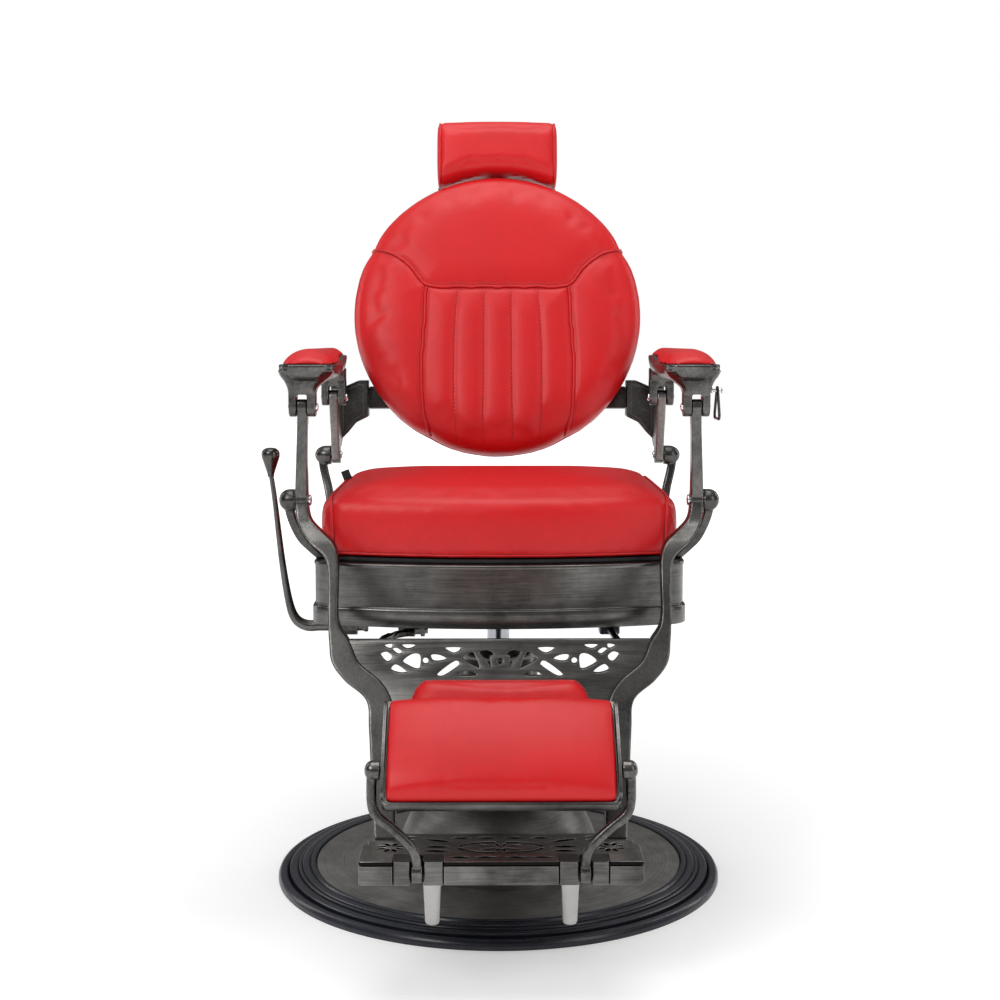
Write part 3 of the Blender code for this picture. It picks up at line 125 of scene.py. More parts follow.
def arc(centre, radius, start, end, steps):
    """Points on an arc, by angles in degrees."""
    points = []
    for i in range(steps + 1):
        angle = math.radians(start + (end - start) * i / steps)
        points.append((centre[0] + radius * math.cos(angle), centre[1] + radius * math.sin(angle)))
    return points


def circle(centre, radius, steps=24):
    return arc(centre, radius, 0, 360, steps)[:-1]


def hull_outline(circles, steps=32):
    """The outline of a belt stretched round some circles, each (u, v, radius)."""
    points = [point for u, v, radius in circles for point in circle((u, v), radius, steps)]
    return [points[i] for i in geometry.convex_hull_2d(points)]


def rounded_rectangle(low_u, high_u, low_v, high_v, corner, steps=6):
    points = arc((high_u - corner, high_v - corner), corner, 0, 90, steps)
    points += arc((low_u + corner, high_v - corner), corner, 90, 180, steps)
    points += arc((low_u + corner, low_v + corner), corner, 180, 270, steps)
    points += arc((high_u - corner, low_v + corner), corner, 270, 360, steps)
    return points


def resampled(points, spacing, closed=False):
    """Points at an even spacing along a line through 3-D points."""
    points = [Vector(p) for p in points]
    if closed:
        points.append(points[0])
    lengths = [0.0]
    for a, b in zip(points, points[1:]):
        lengths.append(lengths[-1] + (b - a).length)
    count = max(2, round(lengths[-1] / spacing))
    result = []
    k = 0
    for i in range(count if closed else count + 1):
        target = lengths[-1] * i / count
        while k < len(lengths) - 2 and lengths[k + 1] < target:
            k += 1
        share = (target - lengths[k]) / max(lengths[k + 1] - lengths[k], 1e-9)
        result.append(points[k].lerp(points[k + 1], share))
    return result


def seat_front(x, inset=0.0):
    """The bow of the seat's front edge."""
    return SEAT_FRONT + inset + x * x / (2 * SEAT_FRONT_RADIUS)


def seat_outline(inset=0.0, corner_steps=10, front_steps=40, side_steps=16):
    """The seat's plan: a bowed front, straight sides and rounded corners."""
    half_width = SEAT_HALF_WIDTH - inset
    back = SEAT_BACK - inset
    corner = SEAT_CORNER
    corner_x = half_width - corner
    points = []
    for i in range(front_steps + 1):
        x = -corner_x + 2 * corner_x * i / front_steps
        points.append((x, seat_front(x, inset)))
    corner_y = seat_front(corner_x, inset) + corner
    right = []
    for i in range(1, corner_steps + 1):
        angle = math.pi / 2 * i / corner_steps
        right.append((corner_x + corner * math.sin(angle), corner_y - corner * math.cos(angle)))
    for i in range(1, side_steps):
        right.append((half_width, corner_y + (back - corner - corner_y) * i / side_steps))
    for i in range(corner_steps + 1):
        angle = math.pi / 2 * i / corner_steps
        right.append((corner_x + corner * math.cos(angle), back - corner + corner * math.sin(angle)))
    points += right
    for i in range(1, front_steps):
        points.append((corner_x - 2 * corner_x * i / front_steps, back))
    points += [(-x, y) for x, y in reversed(right)]
    return points


# ---------------------------------------------------------------- shapes


def loft(rings, closed_path=False):
    """A skin over rings of equal length, capped at both ends unless the path closes on itself."""
    shape = bmesh.new()
    rows = [[shape.verts.new(point) for point in ring] for ring in rings]
    pairs = list(zip(rows, rows[1:]))
    if closed_path:
        pairs.append((rows[-1], rows[0]))
    for low, high in pairs:
        for i in range(len(low)):
            j = (i + 1) % len(low)
            shape.faces.new((low[i], low[j], high[j], high[i]))
    if not closed_path:
        shape.faces.new(rows[0])
        shape.faces.new(rows[-1])
    bmesh.ops.recalc_face_normals(shape, faces=shape.faces)
    return shape


def prism(outline, low, high, place):
    """An outline extruded between two depths. place(u, v, depth) gives the point in space."""
    return loft([[place(u, v, depth) for u, v in outline] for depth in (low, high)])


def across(y, z, x):
    return Vector((x, y, z))


def upright(x, y, z):
    return Vector((x, y, z))


def facing_front(x, z, y):
    return Vector((x, y, z))


def back_up():
    return Vector((0, math.sin(BACK_LEAN), math.cos(BACK_LEAN)))


def back_out():
    return Vector((0, -math.cos(BACK_LEAN), math.sin(BACK_LEAN)))


def on_back(x, up, out):
    return BACK_CENTRE + Vector((x, 0, 0)) + back_up() * up + back_out() * out


def lathe(profile, steps, centre=(0, 0, 0), axis="Z", is_ring=False):
    """A turned shape. The profile is (radius, place along the axis), from axis to axis or a ring's loop."""
    centre = Vector(centre)
    side, up, along = {
        "X": (Vector((0, 1, 0)), Vector((0, 0, 1)), Vector((1, 0, 0))),
        "Y": (Vector((0, 0, 1)), Vector((1, 0, 0)), Vector((0, 1, 0))),
        "Z": (Vector((1, 0, 0)), Vector((0, 1, 0)), Vector((0, 0, 1))),
        "BACK": (Vector((1, 0, 0)), back_up(), back_out()),
    }[axis]
    shape = bmesh.new()
    rows = []
    for radius, position in profile:
        if radius < 1e-7:
            rows.append([shape.verts.new(centre + along * position)] * steps)
            continue
        row = []
        for i in range(steps):
            angle = 2 * math.pi * i / steps
            spoke = side * math.cos(angle) + up * math.sin(angle)
            row.append(shape.verts.new(centre + spoke * radius + along * position))
        rows.append(row)
    pairs = list(zip(rows, rows[1:]))
    if is_ring:
        pairs.append((rows[-1], rows[0]))
    for low, high in pairs:
        for i in range(steps):
            j = (i + 1) % steps
            corners = list(dict.fromkeys((low[i], low[j], high[j], high[i])))
            if len(corners) > 2:
                shape.faces.new(corners)
    bmesh.ops.recalc_face_normals(shape, faces=shape.faces)
    return shape


def cylinder(radius, low, high, centre=(0, 0, 0), axis="Z", steps=32):
    return lathe([(0, low), (radius, low), (radius, high), (0, high)], steps, centre, axis)


def domed(radius, base, tip, centre, axis="X", steps=28, roundness=0.75):
    """A round head with a domed end, from its flat base to its tip along the axis."""
    rim = base + (tip - base) * (1 - roundness)
    profile = [(0, base), (radius, base), (radius, rim)]
    for i in range(1, 7):
        angle = math.pi / 2 * i / 6
        profile.append((radius * math.cos(angle) if i < 6 else 0, rim + (tip - rim) * math.sin(angle)))
    return lathe(profile, steps, centre, axis)


def tube(points, radius, sides=8, closed=False):
    """A round bar along 3-D points. radius is a number or one for each point."""
    points = [Vector(p) for p in points]
    count = len(points)
    radii = radius if isinstance(radius, (list, tuple)) else [radius] * count
    rings = []
    wide = None
    for i, point in enumerate(points):
        ahead = points[(i + 1) % count] if closed else points[min(i + 1, count - 1)]
        behind = points[i - 1] if closed else points[max(i - 1, 0)]
        tangent = (ahead - behind).normalized()
        if wide is None:
            reference = Vector((0, 1, 0)) if abs(tangent.y) < 0.8 else Vector((0, 0, 1))
            wide = tangent.cross(reference)
        wide = (wide - tangent * wide.dot(tangent)).normalized()
        deep = wide.cross(tangent)
        ring = []
        for k in range(sides):
            angle = 2 * math.pi * k / sides
            spoke = wide * math.cos(angle) + deep * math.sin(angle)
            ring.append(point + spoke * radii[i])
        rings.append(ring)
    return loft(rings, closed)


def flat_bar(path, sections, steps=8, corner=0.35, corner_steps=3):
    """A bar of rounded-rectangle section along a smooth path. A section is (half width, half depth)."""
    rows = smooth_rows([(*point, *section) for point, section in zip(path, sections)], steps)
    points = [Vector(row[:3]) for row in rows]
    rings = []
    for i, row in enumerate(rows):
        tangent = (points[min(i + 1, len(points) - 1)] - points[max(i - 1, 0)]).normalized()
        depth_axis = Vector((0, 0, 1)) if abs(tangent.y) > 0.75 else Vector((0, 1, 0))
        wide = tangent.cross(depth_axis).normalized()
        deep = wide.cross(tangent).normalized()
        radius = corner * min(row[3], row[4])
        outline = rounded_rectangle(-row[3], row[3], -row[4], row[4], radius, corner_steps)
        rings.append([points[i] + wide * u + deep * v for u, v in outline])
    return loft(rings)


def casting(rows, side, steps=6, corner=0.35):
    """A curved casting from rows of (height, y, outer x, inner x, half depth), cut level at each height."""
    rings = []
    for z, y, outer, inner, half_depth in smooth_rows(rows, steps):
        low, high = sorted((outer, inner))
        radius = corner * min((high - low) / 2, half_depth)
        outline = rounded_rectangle(low, high, -half_depth, half_depth, radius, 4)
        rings.append([(side * x, y + v, z) for x, v in outline])
    return loft(rings)


def gathered(*shapes):
    """Several shapes in one."""
    whole = bmesh.new()
    for shape in shapes:
        mesh = bpy.data.meshes.new("gather")
        shape.to_mesh(mesh)
        shape.free()
        whole.from_mesh(mesh)
        bpy.data.meshes.remove(mesh)
    return whole


# ---------------------------------------------------------------- objects


def as_object(name, shape):
    mesh = bpy.data.meshes.new(name)
    shape.to_mesh(mesh)
    shape.free()
    obj = bpy.data.objects.new(name, mesh)
    bpy.context.scene.collection.objects.link(obj)
    return obj


def apply_modifiers(obj):
    """Makes the evaluated mesh the object's own and drops the modifiers."""
    graph = bpy.context.evaluated_depsgraph_get()
    mesh = bpy.data.meshes.new_from_object(obj.evaluated_get(graph))
    obj.modifiers.clear()
    obj.data = mesh
    return obj


def bore(obj, *tool_shapes):
    """Cuts each shape out of an object."""
    for shape in tool_shapes:
        tool = as_object("boring_tool", shape)
        modifier = obj.modifiers.new("bore", "BOOLEAN")
        modifier.object = tool
        modifier.operation = "DIFFERENCE"
        modifier.solver = "MANIFOLD"
        apply_modifiers(obj)
        bpy.data.objects.remove(tool, do_unlink=True)
    return obj


def voxel_remesh(obj, voxel):
    modifier = obj.modifiers.new("remesh", "REMESH")
    modifier.mode = "VOXEL"
    modifier.voxel_size = voxel
    modifier.use_smooth_shade = True
    return apply_modifiers(obj)


def relax(obj, times, factor=0.5):
    modifier = obj.modifiers.new("relax", "SMOOTH")
    modifier.factor = factor
    modifier.iterations = times
    return apply_modifiers(obj)


def shade(obj, sharp_over=40):
    obj.data.shade_smooth()
    if sharp_over:
        obj.data.set_sharp_from_angle(angle=math.radians(sharp_over))
    return obj


def add_bevel(obj, width, segments=2, angle=35):
    modifier = obj.modifiers.new("bevel", "BEVEL")
    modifier.width = width
    modifier.segments = segments
    modifier.limit_method = "ANGLE"
    modifier.angle_limit = math.radians(angle)
    modifier.harden_normals = False
    return obj


def finish_piece(obj, body, material, replaces=()):
    obj.data.materials.clear()
    obj.data.materials.append(material)
    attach(obj, body)
    if replaces:
        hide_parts(*replaces)
    return obj


def piece(name, shape, body, material, replaces=(), bevel=0.0, sharp_over=40):
    """A hard piece, smooth-shaded, with its edges rounded when a bevel width is given."""
    obj = as_object(name, shape)
    bmesh_clean(obj)
    shade(obj, sharp_over)
    if bevel:
        add_bevel(obj, bevel)
    return finish_piece(obj, body, material, replaces)


def bmesh_clean(obj):
    shape = bmesh.new()
    shape.from_mesh(obj.data)
    bmesh.ops.remove_doubles(shape, verts=shape.verts, dist=1e-6)
    bmesh.ops.recalc_face_normals(shape, faces=shape.faces)
    shape.to_mesh(obj.data)
    shape.free()


def cast_piece(name, shape, body, material, replaces=(), voxel=1.3 * MM, smoothing=5, bores=()):
    """A casting: overlapping shapes become one skin with filleted joins, then it is bored."""
    obj = as_object(name, shape)
    bmesh_clean(obj)
    voxel_remesh(obj, voxel * (1))
    relax(obj, smoothing)
    bore(obj, *bores)
    shade(obj, 50)
    return finish_piece(obj, body, material, replaces)


def keep_node(name, material, bevel):
    """A CAD node whose shape is right: it gets a material and rounded edges."""
    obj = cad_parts[name]
    obj.data.materials.clear()
    obj.data.materials.append(material)
    add_bevel(obj, bevel)


# ---------------------------------------------------------------- materials


def calculated(tree, kind, operation, values):
    """A math node: each value is a number or an output socket."""
    node = tree.nodes.new(kind)
    node.operation = operation
    for socket, value in zip(node.inputs, values):
        if isinstance(value, bpy.types.NodeSocket):
            tree.links.new(value, socket)
        else:
            socket.default_value = value
    return node


def maths(tree, operation, *values):
    return calculated(tree, "ShaderNodeMath", operation, values).outputs[0]


def vector_maths(tree, operation, *values):
    """A vector math node's result: a number from LENGTH and DOT_PRODUCT, else a vector."""
    node = calculated(tree, "ShaderNodeVectorMath", operation, values)
    return node.outputs["Value" if operation in ("LENGTH", "DOT_PRODUCT") else "Vector"]


def weighted(tree, *parts):
    """The sum of some sockets, each times its weight."""
    terms = [maths(tree, "MULTIPLY", socket, weight) for socket, weight in parts]
    total = terms[0]
    for term in terms[1:]:
        total = maths(tree, "ADD", total, term)
    return total


def object_coordinates(tree):
    return tree.nodes.new("ShaderNodeTexCoord").outputs["Object"]


def noise(tree, vector, scale, detail=2.0, roughness=0.5):
    node = tree.nodes.new("ShaderNodeTexNoise")
    tree.links.new(vector, node.inputs["Vector"])
    node.inputs["Scale"].default_value = scale
    node.inputs["Detail"].default_value = detail
    node.inputs["Roughness"].default_value = roughness
    return node.outputs["Fac"]


def ramp(tree, value, stops):
    """A colour ramp through (position, colour or grey) stops."""
    node = tree.nodes.new("ShaderNodeValToRGB")
    tree.links.new(value, node.inputs["Fac"])
    elements = node.color_ramp.elements
    while len(elements) < len(stops):
        elements.new(0.5)
    for element, (position, colour) in zip(elements, stops):
        element.position = position
        element.color = (*colour, 1) if isinstance(colour, tuple) else (colour, colour, colour, 1)
    return node.outputs["Color"]


def mixed(tree, factor, first, second):
    node = tree.nodes.new("ShaderNodeMix")
    node.data_type = "RGBA"
    for socket, value in ((node.inputs[0], factor), (node.inputs[6], first), (node.inputs[7], second)):
        if isinstance(value, bpy.types.NodeSocket):
            tree.links.new(value, socket)
        elif isinstance(value, tuple):
            socket.default_value = (*value, 1)
        else:
            socket.default_value = value
    return node.outputs[2]


def bump(tree, shader, height, strength, distance):
    node = tree.nodes.new("ShaderNodeBump")
    node.inputs["Strength"].default_value = strength
    node.inputs["Distance"].default_value = distance
    tree.links.new(height, node.inputs["Height"])
    tree.links.new(node.outputs["Normal"], shader.inputs["Normal"])


def new_material(name, **sockets):
    """A Principled material with some sockets set, and its node tree and shader."""
    material = bpy.data.materials.new(name)
    material.use_nodes = True
    tree = material.node_tree
    shader = tree.nodes["Principled BSDF"]
    for socket, value in sockets.items():
        value = (*value, 1) if isinstance(value, tuple) else value
        shader.inputs[socket.replace("_", " ")].default_value = value
    return material, tree, shader


def edge_mask(tree, radius):
    """Near 1 along an object's outer and inner edges and 0 on its faces."""
    rounded = tree.nodes.new("ShaderNodeBevel")
    rounded.samples = 4
    rounded.inputs["Radius"].default_value = radius
    plain = tree.nodes.new("ShaderNodeNewGeometry").outputs["Normal"]
    likeness = vector_maths(tree, "DOT_PRODUCT", rounded.outputs["Normal"], plain)
    return ramp(tree, likeness, [(0.86, 1.0), (0.985, 0.0)])


GRAIN_SCALES = {  # how many streaks there are to a metre along X, Y and Z
    "X": (14, 420, 420),
    "Z": (420, 420, 14),
    "LEVEL": (14, 14, 420),
    "CAST": (160, 160, 160),
}


def metal(name, light, dark, roughness, grain, edge_wear_and_highlight=0.55, edge=1.3 * MM, painted_wall_shade=False):
    """Brushed or cast metal with an uneven patina, and brighter edges: partly rubbed wear, partly a painted
    highlight.
    """
    material, tree, shader = new_material(name, Metallic=1.0)
    place = object_coordinates(tree)
    if grain == "ROUND":
        parts = tree.nodes.new("ShaderNodeSeparateXYZ")
        tree.links.new(place, parts.inputs[0])
        square = maths(tree, "ADD", maths(tree, "POWER", parts.outputs["X"], 2.0),
                       maths(tree, "POWER", parts.outputs["Y"], 2.0))
        radius = maths(tree, "SQRT", square)
        angle = maths(tree, "ARCTAN2", parts.outputs["Y"], parts.outputs["X"])
        joined = tree.nodes.new("ShaderNodeCombineXYZ")
        tree.links.new(maths(tree, "MULTIPLY", radius, 420.0), joined.inputs["X"])
        tree.links.new(maths(tree, "MULTIPLY", angle, 2.2), joined.inputs["Y"])
        tree.links.new(maths(tree, "MULTIPLY", parts.outputs["Z"], 420.0), joined.inputs["Z"])
        stretched = joined.outputs[0]
    else:
        stretched = vector_maths(tree, "MULTIPLY", place, GRAIN_SCALES[grain])
    streaks = noise(tree, stretched, 1.0, 4.0, 0.65)
    fine = noise(tree, stretched, 3.1, 2.0, 0.6)
    blotches = noise(tree, place, 16.0, 4.0, 0.6)
    tone = weighted(tree, (streaks, 0.5), (fine, 0.25), (blotches, 0.75))
    body = ramp(tree, tone, [(0.51, dark), (0.99, light)])
    # Edges are mixed towards a much lighter colour: partly rubbed wear, partly a painted highlight along
    # them.
    bright = tuple(min(1.0, 2.2 * channel + 0.12) for channel in light)
    rubbed_and_highlit = maths(tree, "MULTIPLY", edge_mask(tree, edge), edge_wear_and_highlight)
    colour = mixed(tree, rubbed_and_highlit, body, bright)
    # Painted shade: faces that do not face up, such as the walls of the openings, are darkened to near
    # black.
    if painted_wall_shade:
        facing = tree.nodes.new("ShaderNodeSeparateXYZ")
        tree.links.new(tree.nodes.new("ShaderNodeTexCoord").outputs["Normal"], facing.inputs[0])
        wall_shade_mask = ramp(tree, facing.outputs["Z"], [(0.35, 1.0), (0.75, 0.0)])
        colour = mixed(tree, wall_shade_mask, colour, (0.010, 0.010, 0.010))
    tree.links.new(colour, shader.inputs["Base Color"])
    gloss = ramp(tree, tone, [(0.0, min(1.0, roughness + 0.16)), (1.0, max(0.0, roughness - 0.12))])
    tree.links.new(gloss, shader.inputs["Roughness"])
    height = weighted(tree, (streaks, 1.0), (fine, 0.5))
    bump(tree, shader, height, 0.20 if grain != "CAST" else 0.34, 0.25 * MM)
    return material


def polished(name, colour, roughness, blotch=0.06):
    """Plated or turned metal with faint smears."""
    material, tree, shader = new_material(name, Metallic=1.0, Base_Color=colour)
    place = object_coordinates(tree)
    smears = noise(tree, place, 60.0, 3.0)
    gloss = ramp(tree, smears, [(0.3, roughness), (0.75, roughness + blotch)])
    tree.links.new(gloss, shader.inputs["Roughness"])
    tint = ramp(tree, noise(tree, place, 22.0, 2.0),
                [(0.3, tuple(0.86 * c for c in colour)), (0.7, colour)])
    tree.links.new(tint, shader.inputs["Base Color"])
    bump(tree, shader, noise(tree, place, 900.0, 2.0), 0.04, 0.1 * MM)
    return material


def leather(name="red_leather", bright=(0.640, 0.0095, 0.0125), deep=(0.570, 0.0078, 0.0105), gloss=0.37):
    """Glossy red hide: small pebbled grain, fine creases and a slightly uneven colour."""
    material, tree, shader = new_material(name, Specular_IOR_Level=0.34)
    place = object_coordinates(tree)
    wander = tree.nodes.new("ShaderNodeTexNoise")
    wander.inputs["Scale"].default_value = 90.0
    tree.links.new(place, wander.inputs["Vector"])
    drift = vector_maths(tree, "MULTIPLY", wander.outputs["Color"], (0.002,) * 3)
    shifted = vector_maths(tree, "ADD", place, drift)
    cells = tree.nodes.new("ShaderNodeTexVoronoi")
    cells.feature = "DISTANCE_TO_EDGE"
    cells.inputs["Scale"].default_value = 620.0
    tree.links.new(shifted, cells.inputs["Vector"])
    pebbles = ramp(tree, cells.outputs["Distance"], [(0.0, 0.0), (0.16, 0.8), (0.5, 1.0)])
    creases = noise(tree, shifted, 55.0, 5.0, 0.62)
    patches = noise(tree, place, 9.0, 3.0, 0.55)
    tone = weighted(tree, (creases, 0.45), (patches, 0.55))
    skin = ramp(tree, tone, [(0.34, deep), (0.60, bright)])
    dark_lines = maths(tree, "MULTIPLY", maths(tree, "SUBTRACT", 1.0, pebbles), 0.30)
    colour = mixed(tree, dark_lines, skin, tuple(0.5 * c for c in deep))
    tree.links.new(colour, shader.inputs["Base Color"])
    rough = ramp(tree, tone, [(0.3, gloss + 0.05), (0.7, gloss - 0.03)])
    tree.links.new(rough, shader.inputs["Roughness"])
    height = weighted(tree, (pebbles, 0.45), (creases, 0.6))
    bump(tree, shader, height, 0.26, 0.4 * MM)
    return material


def moulded(name, colour, roughness, grain_scale, strength):
    """Rubber, board or cloth: a fine grain and a slightly uneven tone."""
    material, tree, shader = new_material(name)
    place = object_coordinates(tree)
    grain = noise(tree, place, grain_scale, 3.0, 0.6)
    patches = noise(tree, place, 24.0, 3.0, 0.55)
    dim, lit = [tuple(factor * channel for channel in colour) for factor in (0.7, 1.35)]
    tone = ramp(tree, patches, [(0.3, dim), (0.7, lit)])
    tree.links.new(tone, shader.inputs["Base Color"])
    gloss = ramp(tree, grain, [(0.3, roughness + 0.08), (0.7, roughness - 0.06)])
    tree.links.new(gloss, shader.inputs["Roughness"])
    bump(tree, shader, grain, strength, 0.3 * MM)
    return material


PEWTER_LIGHT = (0.185, 0.179, 0.171)
PEWTER_DARK = (0.040, 0.039, 0.037)
BRIGHT_LIGHT = (0.430, 0.415, 0.390)
BRIGHT_DARK = (0.130, 0.126, 0.120)
DARK_LIGHT = (0.120, 0.116, 0.110)
DARK_DARK = (0.038, 0.037, 0.036)

brushed_across = metal("pewter_brushed_across", PEWTER_LIGHT, PEWTER_DARK, 0.36, "X")
brushed_level = metal("pewter_brushed_level", PEWTER_LIGHT, PEWTER_DARK, 0.36, "LEVEL")
brushed_upright = metal("pewter_brushed_upright", PEWTER_LIGHT, PEWTER_DARK, 0.36, "Z")
brushed_round = metal("pewter_spun", BRIGHT_LIGHT, BRIGHT_DARK, 0.48, "ROUND", edge_wear_and_highlight=0.3)
# The fretwork gets painted shade on its walls and in its openings.
fret_cast = metal("pewter_fretwork", BRIGHT_LIGHT, BRIGHT_DARK, 0.42, "CAST", edge_wear_and_highlight=0.8, painted_wall_shade=True)
link_cast = metal("pewter_link", (0.300, 0.290, 0.275), (0.100, 0.097, 0.092), 0.42, "CAST", edge_wear_and_highlight=0.8)
dome_metal = metal("pewter_dome", (0.170, 0.164, 0.156), (0.060, 0.058, 0.055), 0.50, "ROUND", edge_wear_and_highlight=0.3)
cast_pewter = metal("pewter_cast", PEWTER_LIGHT, PEWTER_DARK, 0.34, "CAST", edge_wear_and_highlight=0.8, edge=1.8 * MM)
dark_cast = metal("dark_pewter_cast", DARK_LIGHT, DARK_DARK, 0.34, "CAST", edge_wear_and_highlight=0.7)
dark_brushed = metal("dark_pewter_brushed", DARK_LIGHT, DARK_DARK, 0.38, "LEVEL")
chrome = polished("chrome_plate", (0.82, 0.82, 0.84), 0.09)
ram_chrome = polished("ram_chrome", (0.36, 0.37, 0.39), 0.18)
satin = polished("satin_aluminium", (0.42, 0.41, 0.40), 0.26)
steel = polished("turned_steel", (0.40, 0.40, 0.41), 0.30)
red = leather()
red_piping = leather("red_leather_piping", gloss=0.36)
rubber = moulded("black_rubber", (0.013, 0.014, 0.022), 0.30, 700.0, 0.10)
board = moulded("black_board", (0.014, 0.014, 0.016), 0.55, 500.0, 0.30)
tag_cloth = moulded("black_cloth", (0.010, 0.010, 0.012), 0.80, 1400.0, 0.50)
# Also the colour of the dark tubes of painted shade beside the piping.
thread = moulded("red_thread", (0.10, 0.002, 0.004), 0.60, 2200.0, 0.30)


# ---------------------------------------------------------------- base and pump


def build_base():
    edge = [(PLATE_RADIUS, PLATE_TOP - 3 * MM), (PLATE_RADIUS - 0.4 * MM, PLATE_TOP - 1.4 * MM),
            (PLATE_RADIUS - 1.4 * MM, PLATE_TOP - 0.4 * MM), (PLATE_RADIUS - 3 * MM, PLATE_TOP)]
    flange = 0.325
    plate = [(0, 0), (flange, 0), (flange, 8 * MM), (PLATE_RADIUS, 8 * MM), *edge, (0, PLATE_TOP)]
    piece("base_disc", lathe(plate, 192), "base", brushed_round, ["base_plate"])

    inner = PLATE_RADIUS + 0.7 * MM
    ridges = [  # start and end past the inner edge, height of the valley before, crest height
        (0.0, 9.0, 20.5, 25.5),
        (9.0, 21.0, 20.8, 23.4),
        (21.0, 27.0, 18.6, 20.6),
        (27.0, 41.0, 15.6, 18.4),
        (41.0, 58.8, 6.0, 14.0),
    ]
    profile = [(inner, 8.3 * MM)]
    for start, end, valley, crest in ridges:
        for i in range(9):
            t = i / 8
            rise = math.sin(math.pi * t) ** 0.55
            floor = valley if t > 0.5 or start > 0 else valley + 3
            radius = inner + (start + (end - start) * t) * MM
            profile.append((radius, (floor + (crest - floor) * rise) * MM))
    profile += [(BASE_RADIUS, 3.5 * MM), (BASE_RADIUS, 0), (flange + 0.3 * MM, 0),
                (flange + 0.3 * MM, 8.3 * MM)]
    piece("base_rubber_ring", lathe(profile, 192, is_ring=True), "base", rubber, ["base_ring"])


def build_pump_cover():
    foot = PLATE_TOP + 0.3 * MM
    rows = [(0.165, foot), (0.1637, 0.032), (0.160, 0.045), (0.151, 0.070), (0.135, 0.100),
            (0.108, 0.128), (0.066, 0.150)]
    outer = smooth_rows(rows, 5)
    wall = 3 * MM
    hollow = [(radius - wall, max(z - 1.1 * wall, foot)) for radius, z in outer[:-1]]
    dome = as_object("pump_dome", lathe(outer + hollow[::-1], 128, is_ring=True))
    bmesh_clean(dome)
    slot = prism(rounded_rectangle(-0.017, 0.017, 0.055, 0.124, 6 * MM), 0.100, 0.185, facing_front)
    bore(dome, slot)
    shade(dome, 50)
    add_bevel(dome, 0.6 * MM)
    finish_piece(dome, "base", dome_metal, ["pump_cover"])
    collar = [(0.0628, 0.148), (0.0715, 0.148), (0.0722, 0.1515), (0.0700, 0.1560), (0.0660, 0.1580),
              (0.0628, 0.1580)]
    piece("pump_dome_collar", lathe(collar, 96, is_ring=True), "base", brushed_round,
          bevel=0.6 * MM)


def build_pump():
    foot = PLATE_TOP + 0.3 * MM
    groove = PUMP_RADIUS - 0.7 * MM
    hole = PISTON_RADIUS + 0.4 * MM
    column = [
        (0, foot),
        (0.085, foot),
        (0.085, 0.034),
        (PUMP_RADIUS, 0.036),
        (PUMP_RADIUS, 0.3490),
        (groove, 0.3500),
        (groove, 0.3515),
        (PUMP_RADIUS, 0.3525),
        (PUMP_RADIUS, 0.3555),
        (0.0610, 0.3585),
        (0.0575, 0.360),
        (hole, 0.360),
        (hole, 0.100),
        (0, 0.100),
    ]
    ear = hull_outline([(0.050, 0.085, 8 * MM), (0.050, 0.125, 8 * MM), (0.092, 0.105, 13 * MM)])
    ears = [prism(ear, low, high, across) for low, high in ((-0.022, -0.012), (0.012, 0.022))]
    piece("pump_column", gathered(lathe(column, 96), *ears), "base", dark_brushed,
          ["pump_housing"], bevel=0.5 * MM)

    gland = [(0.0180, 0.3603), (0.0310, 0.3603), (0.0310, 0.3650), (0.0290, 0.3675), (0.0180, 0.3675)]
    piece("piston_gland", lathe(gland, 64, is_ring=True), "base", dark_cast, bevel=0.5 * MM)
    rod = [(0, 0.105), (PISTON_RADIUS, 0.105), (PISTON_RADIUS, 0.470), (0, 0.470)]
    piece("piston_rod", lathe(rod, 64), "piston", ram_chrome, ["piston"])


def build_pedal():
    hinge = (0, 0.092, 0.105)
    arm = flat_bar(
        [hinge, (0, 0.150, 0.106), (0, 0.230, 0.122), (0, 0.300, 0.148), (0, 0.330, 0.1535)],
        [(0.010, 0.0070)] * 3 + [(0.012, 0.0060)] * 2,
    )
    boss = cylinder(12 * MM, -0.0115, 0.0115, hinge, "X")
    pin = cylinder(5 * MM, -0.0235, 0.0235, hinge, "X")
    tread = prism(rounded_rectangle(-0.045, 0.045, 0.315, 0.375, 7 * MM), 0.1500, 0.1588, upright)
    cast_piece("pedal_arm", gathered(arm, boss, pin, tread), "pedal", dark_cast,
               ["pump_pedal"], voxel=1.5 * MM)
    ribs = [prism(rounded_rectangle(-0.043, 0.043, 0.335, 0.373, 5 * MM), 0.1593, 0.1655, upright)]
    for i in range(7):
        y = 0.3395 + i * 0.005
        ribs.append(prism(rounded_rectangle(-0.040, 0.040, y - 0.0014, y + 0.0014, 1 * MM), 0.164, 0.1688,
                          upright))
    piece("pedal_tread", gathered(*ribs), "pedal", rubber, ["pedal_pad"], bevel=0.6 * MM)


# ---------------------------------------------------------------- seat frame, lever and back


